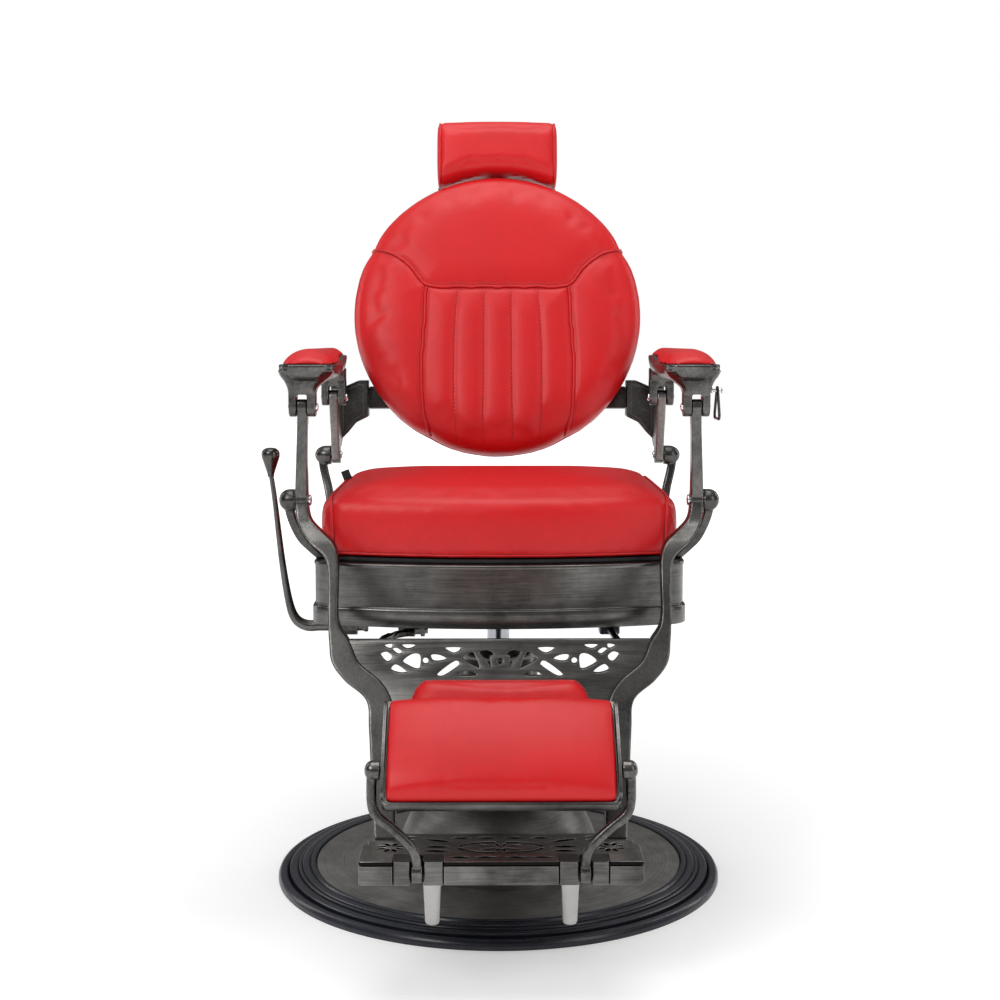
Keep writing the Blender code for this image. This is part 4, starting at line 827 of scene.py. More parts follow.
def build_apron():
    wall = 6 * MM
    ledge = 22 * MM
    flare = -3.5 * MM
    bead = 0.4668
    section = [
        (flare + 0.8 * MM, APRON_BOTTOM),
        (flare, APRON_BOTTOM + 0.9 * MM),
        (flare, bead - 3.4 * MM),
        (flare + 0.5 * MM, bead - 1.9 * MM),
        (flare + 1.8 * MM, bead - 0.8 * MM),
        (0.5 * MM, bead - 0.2 * MM),
        (0.5 * MM, bead + 1.6 * MM),
        (0, bead + 2.4 * MM),
        (0, APRON_TOP - 7.2 * MM),
        (-0.9 * MM, APRON_TOP - 6.2 * MM),
        (-1.2 * MM, APRON_TOP - 4.6 * MM),
        (-1.2 * MM, APRON_TOP - 2.0 * MM),
        (-0.4 * MM, APRON_TOP - 0.6 * MM),
        (1.5 * MM, APRON_TOP),
        (ledge, APRON_TOP),
        (ledge, APRON_TOP - 3 * MM),
        (wall, APRON_TOP - 3 * MM),
        (wall, APRON_BOTTOM),
    ]
    rings = [[(x, y, z) for x, y in seat_outline(inset)] for inset, z in section]
    piece("seat_apron", loft(rings, closed_path=True), "seat", brushed_level, ["apron"],
          sharp_over=50)
    rings = [[(x, y, z) for x, y in seat_outline(inset)]
             for inset, z in ((19 * MM, 0.5303), (18 * MM, 0.5312), (18 * MM, 0.5355), (19 * MM, 0.5365))]
    piece("cushion_board", loft(rings), "seat", board, ["seat_board"])


def build_seat_arms():
    """The curved castings that rise from the apron to the linkage's pivots, and their bolts."""
    bracket_rows = {
        "front": [
            (0.6200, -0.210, 0.3085, 0.2955, 0.0075),
            (0.600, -0.206, 0.3080, 0.2950, 0.008),
            (0.578, -0.198, 0.3020, 0.2885, 0.009),
            (0.557, -0.189, 0.2925, 0.2775, 0.010),
            (0.543, -0.184, 0.2800, 0.2650, 0.011),
            (0.5303, -0.182, 0.2660, 0.2500, 0.012),
        ],
        "rear": [
            (0.657, 0.185, 0.3025, 0.2880, 0.0075),
            (0.630, 0.183, 0.2985, 0.2850, 0.008),
            (0.600, 0.176, 0.2910, 0.2775, 0.009),
            (0.570, 0.162, 0.2845, 0.2705, 0.010),
            (0.548, 0.148, 0.2770, 0.2635, 0.011),
            (0.5303, 0.140, 0.2660, 0.2500, 0.012),
        ],
    }
    places = {
        "front": (FRONT_PIVOT, (0.2938, 0.3169), 0.2735, 8 * MM),
        "rear": (REAR_PIVOT, (0.2790, 0.3070), 0.2640, 6 * MM),
    }
    for end, (pivot, (inner, outer), face, head) in places.items():
        for name, side in SIDES.items():
            ball = domed(16 * MM, side * inner, side * outer, pivot, roundness=0.66)
            ends = sorted((side * (inner - 5 * MM), side * (inner + 12 * MM)))
            socket = cylinder(5.3 * MM, *ends, pivot, "X")
            cast_piece(f"{end}_arm_{name}", gathered(casting(bracket_rows[end], side), ball), "seat",
                       dark_cast, [f"{end}_bracket_{name}"], voxel=1.2 * MM, smoothing=3,
                       bores=[socket])
            washer = face - 0.3 * MM
            shank = inner + 11 * MM
            bolt = [(0, side * shank), (5 * MM, side * shank), (5 * MM, side * washer),
                    (head, side * washer), (head, side * (washer - 1.6 * MM))]
            for i in range(1, 6):
                angle = math.pi / 2 * i / 5
                bolt.append((head * math.cos(angle) if i < 5 else 0,
                             side * (washer - 1.6 * MM - 1.9 * MM * math.sin(angle))))
            piece(f"{end}_bolt_{name}", lathe(bolt, 32, pivot, "X"), "seat", chrome,
                  [f"{end}_pivot_bolt_{name}"])


def build_underside():
    for node in ("seat_mount", "lever_bearing", "lock_clamp"):
        keep_node(node, dark_cast, 0.8 * MM)
    for node in ("lock_cylinder", "lock_rod"):
        keep_node(node, steel, 0.5 * MM)
    keep_node("rest_stop", rubber, 0.6 * MM)


def build_lever():
    y = LEVER_AXIS.y
    z = LEVER_AXIS.z
    path = [(-0.3385, y, 0.6452), (-0.3336, y, 0.609), (-0.3240, y, 0.519), (-0.3146, y, 0.458),
            (-0.3050, y, 0.431), (-0.2890, y, z), (-0.2700, y, z)]
    radii = [3.8, 4.0, 5.0, 6.0, 7.4, 8.5, 8.5]
    rows = smooth_rows([(*point, radius * MM) for point, radius in zip(path, radii)], 10)
    rod = tube([row[:3] for row in rows], [row[3] for row in rows], 20)
    shaft = cylinder(8.5 * MM, -0.276, -0.196, LEVER_AXIS, "X")
    hub = prism(hull_outline([(y, z, 0.010), (y + 0.016, z + 0.026, 6 * MM)]), -0.202, -0.196, across)
    cast_piece("lever_rod", gathered(rod, shaft, hub), "recline_lever", brushed_upright,
               ["recline_lever"], voxel=1.1 * MM)
    knob = smooth_rows([(0.0001, 0.6440), (0.0046, 0.6441), (0.0050, 0.6480), (0.0065, 0.6530),
                        (0.0105, 0.6650), (0.0135, 0.6750), (0.0122, 0.6825), (0.0068, 0.6866),
                        (0.0001, 0.6875)], 4)
    knob = [(0, knob[0][1]), *knob[1:-1], (0, knob[-1][1])]
    piece("lever_knob_drop", lathe(knob, 48, (-0.339, y, 0)), "recline_lever", dark_cast,
          ["lever_knob"])


def build_back_board():
    front = -30 * MM
    rim = BACK_RADIUS - 10 * MM
    shell = [(0, front - 15 * MM), (0.120, front - 14.6 * MM), (0.190, front - 13.6 * MM),
             (BACK_RADIUS - 20 * MM, front - 12 * MM), (BACK_RADIUS - 14 * MM, front - 9.5 * MM),
             (rim - 0.6 * MM, front - 5 * MM), (rim, front - 2 * MM), (rim, front), (0, front)]
    piece("back_board", lathe(smooth_rows(shell[:-1], 3) + [shell[-1]], 160, BACK_CENTRE, "BACK"), "back",
          board, ["back_shell"])
    bar = prism(rounded_rectangle(-0.2190, 0.2190, -0.150, -0.112, 3 * MM), -0.0533, -0.0453, on_back)
    heads = []
    for x in (-0.160, -0.060, 0.060, 0.160):
        head = lathe([(0, -0.0570), (4 * MM, -0.0566), (6 * MM, -0.0550), (6.4 * MM, -0.0533), (0, -0.0533)],
                     24, BACK_CENTRE + Vector((x, 0, 0)) + back_up() * -0.131, "BACK")
        heads.append(head)
    piece("back_strap", bar, "back", dark_brushed, ["back_crossbar"], bevel=1.0 * MM)
    piece("back_strap_screws", gathered(*heads), "back", chrome)
    keep_node("headrest_guide", dark_cast, 1.0 * MM)
    keep_node("headrest_bar", chrome, 1.2 * MM)


def build_back_brackets():
    """At each side, a link between the pivots and a web plate that carries the back's strap."""
    pivot = (REAR_PIVOT.y, REAR_PIVOT.z)
    pin = (ARM_REAR_PIN.y, ARM_REAR_PIN.z)
    plate = [
        *arc(pivot, 14 * MM, 60, -150, 20),
        *arc(pin, 12 * MM, 200, 90, 12),
        (0.168, 0.764),
        (0.180, 0.784),
        (0.250, 0.788),
        (0.250, 0.700),
        (0.238, 0.682),
        (0.212, 0.668),
    ]
    hidden = 0.2680
    web = [(hidden, 0.676), (0.254, 0.690), (0.240, 0.707), (0.2195, 0.717), (0.2195, 0.778),
           (0.236, 0.778), (hidden, 0.764)]
    recess = [(0.2620, 0.6890), (0.2500, 0.7010), (0.2420, 0.7135), (0.2270, 0.7215), (0.2270, 0.7710),
              (0.2350, 0.7710), (0.2620, 0.7600)]
    for name, side in SIDES.items():
        link = prism(plate, side * REAR_LINK[0], side * REAR_LINK[1], across)
        gusset = prism([(side * x, z) for x, z in web], 0.214, 0.249, facing_front)
        bores = (
            cylinder(5.4 * MM, 0.26 * side, 0.29 * side, REAR_PIVOT, "X"),
            cylinder(4.4 * MM, 0.26 * side, 0.29 * side, ARM_REAR_PIN, "X"),
        )
        pocket = prism([(side * x, z) for x, z in recess], 0.205, 0.220, facing_front)
        cast_piece(f"back_link_{name}", link, "back", link_cast, [f"back_bracket_{name}"],
                   voxel=1.1 * MM, smoothing=2, bores=bores)
        cast_piece(f"back_web_{name}", gusset, "back", dark_cast, voxel=1.2 * MM, smoothing=2,
                   bores=[pocket])


# ---------------------------------------------------------------- armrests


ARMREST_ROWS = [  # y, middle x, half width
    (-0.288, 0.268, 0.0240),
    (-0.276, 0.268, 0.0360),
    (-0.240, 0.268, 0.0420),
    (-0.150, 0.268, 0.0395),
    (-0.040, 0.268, 0.0310),
    (0.060, 0.269, 0.0250),
    (0.140, 0.2705, 0.0225),
    (0.163, 0.2705, 0.0160),
]


def armrest_outline(inset, steps=6):
    rows = ARMREST_ROWS
    smooth = smooth_rows(rows, steps)
    middle_y = (rows[0][0] + rows[-1][0]) / 2
    shrink = 1 - inset / (rows[-1][0] - middle_y)
    inner = [(middle - (half - inset), middle_y + (y - middle_y) * shrink) for y, middle, half in smooth]
    outer = [(middle + (half - inset), middle_y + (y - middle_y) * shrink) for y, middle, half in smooth]
    return outer + inner[::-1]


def saddle(y):
    """How far the armrest's rim rises towards its rear."""
    share = min(1.0, max(0.0, (y + 0.130) / 0.150))
    return 9.5 * MM * share * share * (3 - 2 * share)


def build_armrest_castings():
    front = (ARM_FRONT_PIN.y, ARM_FRONT_PIN.z)
    rear = (ARM_REAR_PIN.y, ARM_REAR_PIN.z)
    clevises = {
        "front": (front, (0.2703, 0.2853), FRONT_CLEVIS),
        "rear": (rear, (0.2635, 0.2785), REAR_CLEVIS),
    }
    neck_rows = {
        "front": [
            (0.804, 0.3085, 0.2290, 0.041),
            (0.796, 0.3055, 0.2350, 0.034),
            (0.789, 0.3010, 0.2440, 0.026),
            (0.780, 0.2975, 0.2550, 0.018),
            (0.770, 0.2960, 0.2585, 0.014),
        ],
        "rear": [
            (0.800, 0.2905, 0.2508, 0.018),
            (0.785, 0.2905, 0.2508, 0.0145),
            (0.770, 0.2905, 0.2508, 0.013),
        ],
    }
    levels = [  # inset, height, share of the saddle's rise
        (14 * MM, 0.7905, 0.0),
        (9.5 * MM, 0.7925, 0.0),
        (5.5 * MM, 0.7955, 0.1),
        (2.6 * MM, 0.7995, 0.3),
        (1.0 * MM, 0.8040, 0.6),
        (0, 0.8080, 0.9),
        (0, 0.8112, 1.0),
        (1.0 * MM, 0.8124, 1.0),
        (3.6 * MM, 0.8122, 1.0),
    ]
    for name, side in SIDES.items():
        body = f"armrest_{name}"
        shapes = [loft([[(side * x, y, z + saddle(y) * share) for x, y in armrest_outline(inset)]
                        for inset, z, share in levels])]
        bores = []
        for end, (pin, gap_faces, outside) in clevises.items():
            rows = [(z, pin[0], outer, inner, depth) for z, outer, inner, depth in neck_rows[end]]
            shapes.append(casting(rows, side))
            cheek = hull_outline([(*pin, 13.5 * MM), (pin[0] - 9 * MM, 0.777, 5 * MM),
                                  (pin[0] + 9 * MM, 0.777, 5 * MM)])
            for low, high in ((outside[0], gap_faces[0]), (gap_faces[1], outside[1])):
                shapes.append(prism(cheek, side * low, side * high, across))
            bores.append(cylinder(4.2 * MM, side * 0.24, side * 0.30, (0, *pin), "X"))
        cast_piece(f"armrest_casting_{name}", gathered(*shapes), body, cast_pewter,
                   [f"{body}_frame"], voxel=1.3 * MM, smoothing=4, bores=bores)
        for end, (pin, _, (inner, outer)) in clevises.items():
            head = 6 * MM
            low = inner - 0.3 * MM
            profile = [(0, side * (low - 3.2 * MM)), (0.55 * head, side * (low - 3.0 * MM)),
                       (0.88 * head, side * (low - 2.1 * MM)), (head, side * (low - 1.0 * MM)),
                       (head, side * low), (4 * MM, side * low), (4 * MM, side * (outer + 1.0 * MM)),
                       (3.2 * MM, side * (outer + 1.5 * MM)), (0, side * (outer + 1.5 * MM))]
            piece(f"armrest_{end}_bolt_{name}", lathe(profile, 32, (0, *pin), "X"), body, chrome,
                  [f"{body}_{end}_pin"])


def build_strop_ring():
    peg_y = ARM_FRONT_PIN.y
    peg_z = 0.7755
    start = 0.2982
    peg = [(0, start), (4 * MM, start), (4 * MM, start + 2 * MM), (2 * MM, start + 2 * MM), (2 * MM, 0.3125),
           (4 * MM, 0.3125), (4 * MM, 0.3145), (0, 0.3145)]
    piece("ring_peg", lathe(peg, 32, (0, peg_y, peg_z), "X"), "armrest_right", chrome,
          ["strop_peg"], bevel=0.4 * MM)
    top = peg_z + 4.4 * MM
    corner = 5 * MM
    loop = hull_outline([(peg_y + y, z - corner, corner)
                         for y, z in ((0, top), (-0.018, top - 0.034), (0.018, top - 0.034))])
    wire = resampled([(0.3070, y, z) for y, z in loop], 1.5 * MM, closed=True)
    piece("wire_ring", tube(wire, 2 * MM, 12, closed=True), "strop_ring", dark_cast,
          ["strop_ring"], sharp_over=0)


# ---------------------------------------------------------------- legs and footrest


LEG_ROWS = [  # height, y, outer x, inner x, half depth
    (0.7630, -0.2457, 0.2838, 0.2718, 0.0070),
    (0.7560, -0.2457, 0.2848, 0.2708, 0.0110),
    (0.7350, -0.2412, 0.2848, 0.2708, 0.0110),
    (0.6900, -0.2290, 0.2880, 0.2730, 0.0110),
    (0.6400, -0.2160, 0.2915, 0.2745, 0.0125),
    (0.6170, -0.2100, 0.2925, 0.2750, 0.0145),
    (0.5920, -0.2210, 0.2895, 0.2695, 0.0130),
    (0.5750, -0.2350, 0.2810, 0.2520, 0.0125),
    (0.5600, -0.2470, 0.2680, 0.2350, 0.0125),
    (0.5400, -0.2590, 0.2460, 0.2275, 0.0120),
    (0.5080, -0.2730, 0.2405, 0.2265, 0.0120),
    (0.4560, -0.2930, 0.2390, 0.2250, 0.0120),
    (0.4300, -0.3052, 0.2370, 0.2090, 0.0120),
    (0.4030, -0.3192, 0.2320, 0.1945, 0.0120),
    (0.3800, -0.3312, 0.2130, 0.1650, 0.0120),
    (0.3560, -0.3437, 0.1835, 0.1490, 0.0115),
    (0.3200, -0.3624, 0.1785, 0.1460, 0.0110),
    (0.2500, -0.3988, 0.1730, 0.1410, 0.0110),
    (FOOT_PLATE_TOP + 0.3 * MM, -0.4304, 0.1680, 0.1380, 0.0110),
]


def leg_y(z):
    """The leg frame's middle plane below the apron, which slopes forward."""
    return -0.300 - (LEG_SLOPE_TOP - z) * LEG_SLOPE


def on_leg_slope(x, z, depth):
    return Vector((x, leg_y(z) + depth, z))


def build_legs():
    for name, side in SIDES.items():
        leg = casting(LEG_ROWS, side, steps=8, corner=0.22)
        bores = (
            cylinder(5.4 * MM, side * 0.26, side * 0.31, FRONT_PIVOT, "X"),
            cylinder(6.5 * MM, side * 0.26, side * 0.31, ARM_FRONT_PIN, "X"),
        )
        pivot_boss = cylinder(15 * MM, side * 0.2750, side * 0.2925, FRONT_PIVOT, "X", 40)
        pin_boss = cylinder(11.4 * MM, side * 0.2710, side * 0.2846, ARM_FRONT_PIN, "X", 40)
        cast_piece(f"leg_casting_{name}", gathered(leg, pivot_boss, pin_boss), "leg_frame",
                   brushed_upright, [f"leg_{name}"], voxel=1.25 * MM, smoothing=2, bores=bores)


def fretwork(name, outline, openings, half_depth, rounding, place):
    """A plate with openings cut right through it, its edges rounded."""
    curve = bpy.data.curves.new(name, "CURVE")
    curve.dimensions = "2D"
    curve.fill_mode = "BOTH"
    curve.extrude = half_depth - rounding
    curve.bevel_depth = rounding
    curve.bevel_resolution = 2
    curve.offset = -rounding
    for loop in (outline, *openings):
        spline = curve.splines.new("POLY")
        spline.points.add(len(loop) - 1)
        for point, (u, v) in zip(spline.points, loop):
            point.co = (u, v, 0, 1)
        spline.use_cyclic_u = True
    flat = bpy.data.objects.new(f"{name}_flat", curve)
    bpy.context.scene.collection.objects.link(flat)
    graph = bpy.context.evaluated_depsgraph_get()
    mesh = bpy.data.meshes.new_from_object(flat.evaluated_get(graph))
    bpy.data.objects.remove(flat, do_unlink=True)
    mesh.name = name
    for vert in mesh.vertices:
        vert.co = place(*vert.co)
    obj = bpy.data.objects.new(name, mesh)
    bpy.context.scene.collection.objects.link(obj)
    bmesh_clean(obj)
    shade(obj, 45)
    return obj


def mirrored(outline):
    return [(-x, z) for x, z in reversed(outline)]


def rounded_loop(loop, steps=5):
    return smooth_rows(loop, steps, closed=True)


def panel_piercings():
    """The cut pattern along the top of the calf panel, in (x, distance below the top edge)."""
    half = [
        [(0.161, 0.008), (0.150, 0.006), (0.152, 0.012)],
        [(0.149, 0.013), (0.143, 0.011), (0.136, 0.016), (0.141, 0.019)],
        [(0.136, 0.007), (0.118, 0.007), (0.122, 0.011), (0.130, 0.012)],
        [(0.165, 0.019), (0.157, 0.016), (0.150, 0.021), (0.152, 0.027), (0.158, 0.028)],
        [(0.134, 0.028), (0.122, 0.019), (0.111, 0.020), (0.1105, 0.034), (0.114, 0.038), (0.124, 0.035)],
        circle((0.103, 0.0275), 4 * MM, 12),
        [(0.095, 0.020), (0.084, 0.020), (0.074, 0.025), (0.084, 0.028), (0.093, 0.027)],
        [(0.150, 0.039), (0.144, 0.032), (0.129, 0.041), (0.137, 0.043)],
        [(0.076, 0.011), (0.053, 0.011), (0.064, 0.018)],
        [(0.086, 0.044), (0.063, 0.028), (0.056, 0.031), (0.060, 0.036), (0.079, 0.047)],
        [(0.051, 0.025), (0.041, 0.017), (0.036, 0.018), (0.029, 0.034), (0.031, 0.036)],
        [(0.056, 0.046), (0.050, 0.041), (0.040, 0.041), (0.033, 0.046)],
        [(0.029, 0.017), (0.018, 0.014), (0.009, 0.019), (0.014, 0.023), (0.013, 0.036), (0.020, 0.027)],
    ]
    loops = [[(x, PANEL_TOP - below) for x, below in rounded_loop(loop)] for loop in half]
    loops += [mirrored(loop) for loop in loops]
    loops.append([(x, PANEL_TOP - below) for x, below in circle((0, 0.028), 4 * MM, 24)])
    return loops


def build_calf_panel():
    rows = [row for row in smooth_rows(LEG_ROWS, 4) if PANEL_BOTTOM < row[0] < PANEL_TOP]
    right = [(0.2085, PANEL_TOP), *[(row[3] + 1.5 * MM, row[0]) for row in rows], (0.1410, PANEL_BOTTOM)]
    outline = right + mirrored(right)
    panel = fretwork("calf_fretwork", outline, panel_piercings(), PANEL_HALF_THICKNESS, 0.9 * MM,
                     on_leg_slope)
    finish_piece(panel, "leg_frame", brushed_across, ["calf_panel"])


def petal(centre, angle, near, far, half_width):
    """A leaf-shaped opening that points away from a centre."""
    along = (math.cos(angle), math.sin(angle))
    aside = (-along[1], along[0])
    middle = 0.55 * near + 0.45 * far
    tips = [
        tuple(c + a * distance + b * offset for c, a, b in zip(centre, along, aside))
        for distance, offset in ((near, 0), (middle, -half_width), (far, 0), (middle, half_width))
    ]
    return rounded_loop(tips, 4)


def oval_slots(centre, half_size, band, count, gap_degrees):
    """Curved slots that run round an oval, with bars of metal between them."""
    loops = []
    span = 360 / count
    for k in range(count):
        turns = [span * k + gap_degrees + (span - 2 * gap_degrees) * i / 10 for i in range(11)]
        spokes = [(math.cos(math.radians(turn)), math.sin(math.radians(turn))) for turn in turns]
        inner = [(half_size[0] * x, half_size[1] * y) for x, y in spokes]
        outer = [((half_size[0] + band) * x, (half_size[1] + band) * y) for x, y in spokes]
        loops.append([(centre[0] + x, centre[1] + y) for x, y in outer + inner[::-1]])
    return loops


def foot_plate_openings():
    """The footplate's cut pattern: an oval medallion, a rose at each end and leaves along the edges."""
    middle_y = -0.474
    loops = oval_slots((0, middle_y), (0.052, 0.019), 5 * MM, 4, 7)
    for i in range(8):
        angle = math.pi / 4 * i + math.pi / 8
        loops.append(petal((0, middle_y), angle, 5 * MM, (22 * abs(math.cos(angle)) + 8) * MM, 2.2 * MM))
    for side in SIDES.values():
        away = 0 if side > 0 else math.pi
        rose = (side * 0.143, -0.474)
        for i in range(8):
            loops.append(petal(rose, math.pi / 4 * i + math.pi / 8, 6 * MM, 19 * MM, 3.2 * MM))
        for y, tilt in ((-0.452, 0.35), (-0.472, 0), (-0.489, 0)):
            loops.append(petal((side * 0.066, y), away + side * tilt, 0, 36 * MM, 4.5 * MM))
        for y in (-0.435, -0.514):
            for start in (0.006, 0.040):
                loops.append(petal((side * start, y), away, 0, 27 * MM, 4 * MM))
        for y in (-0.443, -0.430):
            loops.append(petal((side * 0.112, y), away, 0, 28 * MM, 3 * MM))
    return loops


def foot_plate_outline(inset=0.0):
    half = 0.1815 - inset
    step = 0.015
    front = FOOT_PLATE_FRONT + inset
    rear = -0.416 - inset
    notch_inner = FOOT_BLOCK_INNER - 0.3 * MM - inset
    notch_outer = FOOT_BLOCK_OUTER + 0.3 * MM + inset
    notch_y = -0.4997 + inset
    right = [
        (notch_inner, front),
        (notch_inner, notch_y),
        (notch_outer, notch_y),
        (notch_outer, front),
        *arc((half - 4 * MM, front + 4 * MM), 4 * MM, -90, 0, 5),
        *arc((half - 3 * MM, -0.4636 - inset), 3 * MM, 0, 90, 4),
        (half - step / 2, -0.4606 - inset),
        *arc((half - step / 2 - 2 * MM, -0.448 - inset), 2 * MM, 0, 90, 3),
        (half - step, -0.446 - inset),
        *arc((half - 0.008 - step / 3 - 4 * MM, rear - 4 * MM), 4 * MM, 0, 90, 4),
    ]
    return right + [(-x, y) for x, y in reversed(right)]


def build_foot_plate():
    half_depth = 3.5 * MM
    middle = FOOT_PLATE_TOP - half_depth

    def flat(x, y, depth):
        return Vector((x, y, middle + depth))

    top = fretwork("foot_fretwork", foot_plate_outline(), foot_plate_openings(), half_depth, 0.8 * MM, flat)
    finish_piece(top, "leg_frame", fret_cast, ["foot_plate"])
    heights = (FOOT_PLATE_BOTTOM, FOOT_PLATE_BOTTOM + 1 * MM, FOOT_PLATE_TOP - 4 * MM)
    rings = [[(x, y, z) for x, y in foot_plate_outline(inset)]
             for inset, z in zip((1 * MM, 0, 0), heights)]
    rings += [[(x, y, z) for x, y in foot_plate_outline(inset)]
              for inset, z in ((5 * MM, heights[-1]), (5 * MM, heights[0]))]
    piece("foot_skirt", loft(rings, closed_path=True), "leg_frame", brushed_across, bevel=0.5 * MM)


def build_foot_blocks():
    slot_low = FOOTREST_ARM_X - 7.8 * MM
    slot_high = FOOTREST_ARM_X + 7.8 * MM
    edge = 4 * MM
    front = FOOT_PLATE_FRONT + edge
    for name, side in SIDES.items():
        outline = [
            (FOOT_BLOCK_INNER, -0.500),
            (FOOT_BLOCK_OUTER, -0.500),
            *arc((FOOT_BLOCK_OUTER - edge, front), edge, 0, -90, 5),
            *arc((slot_high + edge, front), edge, -90, -180, 5),
            (slot_high, -0.5045),
            (slot_low, -0.5045),
            *arc((slot_low - edge, front), edge, 0, -90, 5),
            *arc((FOOT_BLOCK_INNER + edge, front), edge, -90, -180, 5),
        ]
        block = prism([(side * x, y) for x, y in outline], FOOT_PLATE_BOTTOM, FOOT_PLATE_TOP, upright)
        obj = as_object(f"hinge_block_{name}", block)
        bmesh_clean(obj)
        ends = (side * (FOOTREST_ARM_X - 19 * MM), side * (FOOTREST_ARM_X + 19 * MM))
        bore(obj, cylinder(4.4 * MM, *ends, FOLD_PIVOT, "X"))
        shade(obj, 40)
        add_bevel(obj, 1.2 * MM, 3)
        finish_piece(obj, "leg_frame", brushed_across, [f"foot_block_{name}"])
        top = FOOT_PLATE_BOTTOM - 0.3 * MM
        foot = top - 0.055
        peg = [(0, foot), (7 * MM, foot), (8.2 * MM, foot + 0.6 * MM), (8.8 * MM, foot + 1.8 * MM),
               (9.6 * MM, foot + 4 * MM), (12 * MM, top - 1 * MM), (12 * MM, top), (0, top)]
        piece(f"rest_peg_{name}", lathe(peg, 48, (side * 0.088, -0.517, 0)), "leg_frame",
              satin, [f"foot_peg_{name}"])


def build_yoke():
    for name in SIDES:
        keep_node(f"yoke_arm_{name}", dark_cast, 0.8 * MM)


def on_footrest(x, up, out):
    """A point on the footrest pad's own plane: up the slope from its lower edge, and out of its face."""
    slope = Vector((0, math.cos(PAD_SLOPE), math.sin(PAD_SLOPE)))
    normal = Vector((0, -math.sin(PAD_SLOPE), math.cos(PAD_SLOPE)))
    return PAD_LOW_EDGE + Vector((x, 0, 0)) + slope * up + normal * out


def footrest_crown(inset=0.0):
    """The pad's rounded face from its lower edge to its upper, as (up the slope, out of it)."""
    rise = [(0.8, 4.0), (3.0, 13.0), (10.0, 19.0), (26.0, 23.8), (50.0, 26.8), (74.0, 27.8)]
    lower = smooth_rows([(max(up * MM, inset), out * MM - inset) for up, out in rise], 4)
    return lower + [(PAD_LENGTH - up, out) for up, out in reversed(lower[:-1])]


def build_footrest_arms():
    arm_x = FOOTREST_ARM_X
    for name, side in SIDES.items():
        path = [(arm_x, FOLD_PIVOT.y, FOLD_PIVOT.z), (arm_x, -0.5330, 0.1870), (0.1105, -0.5370, 0.2040),
                (0.1230, -0.5360, 0.2190), (0.1400, -0.5320, 0.2335), (0.1580, -0.5280, 0.2480),
                (0.1640, -0.5250, 0.2660), (0.1640, TILT_PIVOT.y, TILT_PIVOT.z)]
        arm = flat_bar([(side * x, y, z) for x, y, z in path], [(6.5 * MM, 5.5 * MM)] * len(path),
                       corner=0.8, corner_steps=4)
        foot = cylinder(15.5 * MM, side * (arm_x - 6.8 * MM), side * (arm_x + 6.8 * MM), FOLD_PIVOT, "X", 48)
        pin = cylinder(4 * MM, side * (arm_x - 18 * MM), side * (arm_x + 18 * MM), FOLD_PIVOT, "X")
        boss = domed(12.5 * MM, side * 0.1535, side * 0.1735, TILT_PIVOT, roundness=0.5)
        stub = cylinder(4 * MM, side * 0.1472, side * 0.1555, TILT_PIVOT, "X")
        cast_piece(f"footrest_link_{name}", gathered(arm, foot, pin, boss, stub), "footrest_arms",
                   cast_pewter, [f"footrest_arm_{name}"], voxel=1.1 * MM)


def build_footrest_tray():
    rim = 5.5 * MM
    half = TRAY_HALF_WIDTH
    sections = [(0.8 * MM, -11 * MM), (0, -10.2 * MM), (0, 2.6 * MM), (0.5 * MM, 3.6 * MM),
                (1.2 * MM, 4 * MM), (rim - 1 * MM, 4 * MM), (rim - 1 * MM, -5 * MM)]
    rings = []
    for inset, out in sections:
        ends = (inset - rim, PAD_LENGTH + rim - inset)
        outline = rounded_rectangle(inset - half, half - inset, *ends, 9 * MM)
        rings.append([on_footrest(x, up, min(out, 4 * MM - 6 * MM * up / PAD_LENGTH)) for x, up in outline])
    end = 3.5 * MM
    face = [(up, out) for up, out in footrest_crown(1.5 * MM) if end < up < PAD_LENGTH - end]
    cheek = [(end, -8 * MM), (end, 11 * MM), *face, (PAD_LENGTH - end, 11 * MM),
             (PAD_LENGTH - end, -8 * MM)]
    points = [on_footrest(0, up, out) for up, out in cheek]
    outline = [(point.y, point.z) for point in points]
    cheeks = [prism(outline, side * half, side * (half - 4 * MM), across) for side in SIDES.values()]
    piece("footrest_pan", gathered(loft(rings), *cheeks), "footrest_pad", brushed_across,
          ["footrest_tray"], bevel=0.8 * MM)


# ---------------------------------------------------------------- soft goods


def surface(obj):
    mesh = obj.data
    return BVHTree.FromPolygons([v.co for v in mesh.vertices], [p.vertices for p in mesh.polygons])


def inflate(name, shape, voxel, cap, pressure=4.0, frames=20):
    """A stuffed form: its skin swells by cloth simulation, and no point moves further than cap(point)."""
    obj = as_object(name, shape)
    bmesh_clean(obj)
    voxel_remesh(obj, voxel)
    relax(obj, 3)
    start = [v.co.copy() for v in obj.data.vertices]
    normals = [v.normal.copy() for v in obj.data.vertices]
    cloth = obj.modifiers.new("swell", "CLOTH")
    cloth.settings.quality = 5
    cloth.settings.use_pressure = True
    cloth.settings.uniform_pressure_force = pressure
    cloth.settings.effector_weights.gravity = 0
    cloth.point_cache.frame_start = 1
    cloth.point_cache.frame_end = frames
    scene = bpy.context.scene
    for number in range(1, frames + 1):
        scene.frame_set(number)
    graph = bpy.context.evaluated_depsgraph_get()
    evaluated = obj.evaluated_get(graph)
    moved = [v.co.copy() for v in evaluated.data.vertices]
    obj.modifiers.clear()
    scene.frame_set(1)
    for vert, before, after, normal in zip(obj.data.vertices, start, moved, normals):
        shift = after - before
        shift -= normal * min(0.0, shift.dot(normal))
        limit = cap(before)
        if shift.length > limit:
            shift *= limit / shift.length
        vert.co = before + shift
    relax(obj, 4)
    modifier = obj.modifiers.new("finer", "SUBSURF")
    modifier.levels = 1
    modifier.render_levels = 1
    apply_modifiers(obj)
    return obj


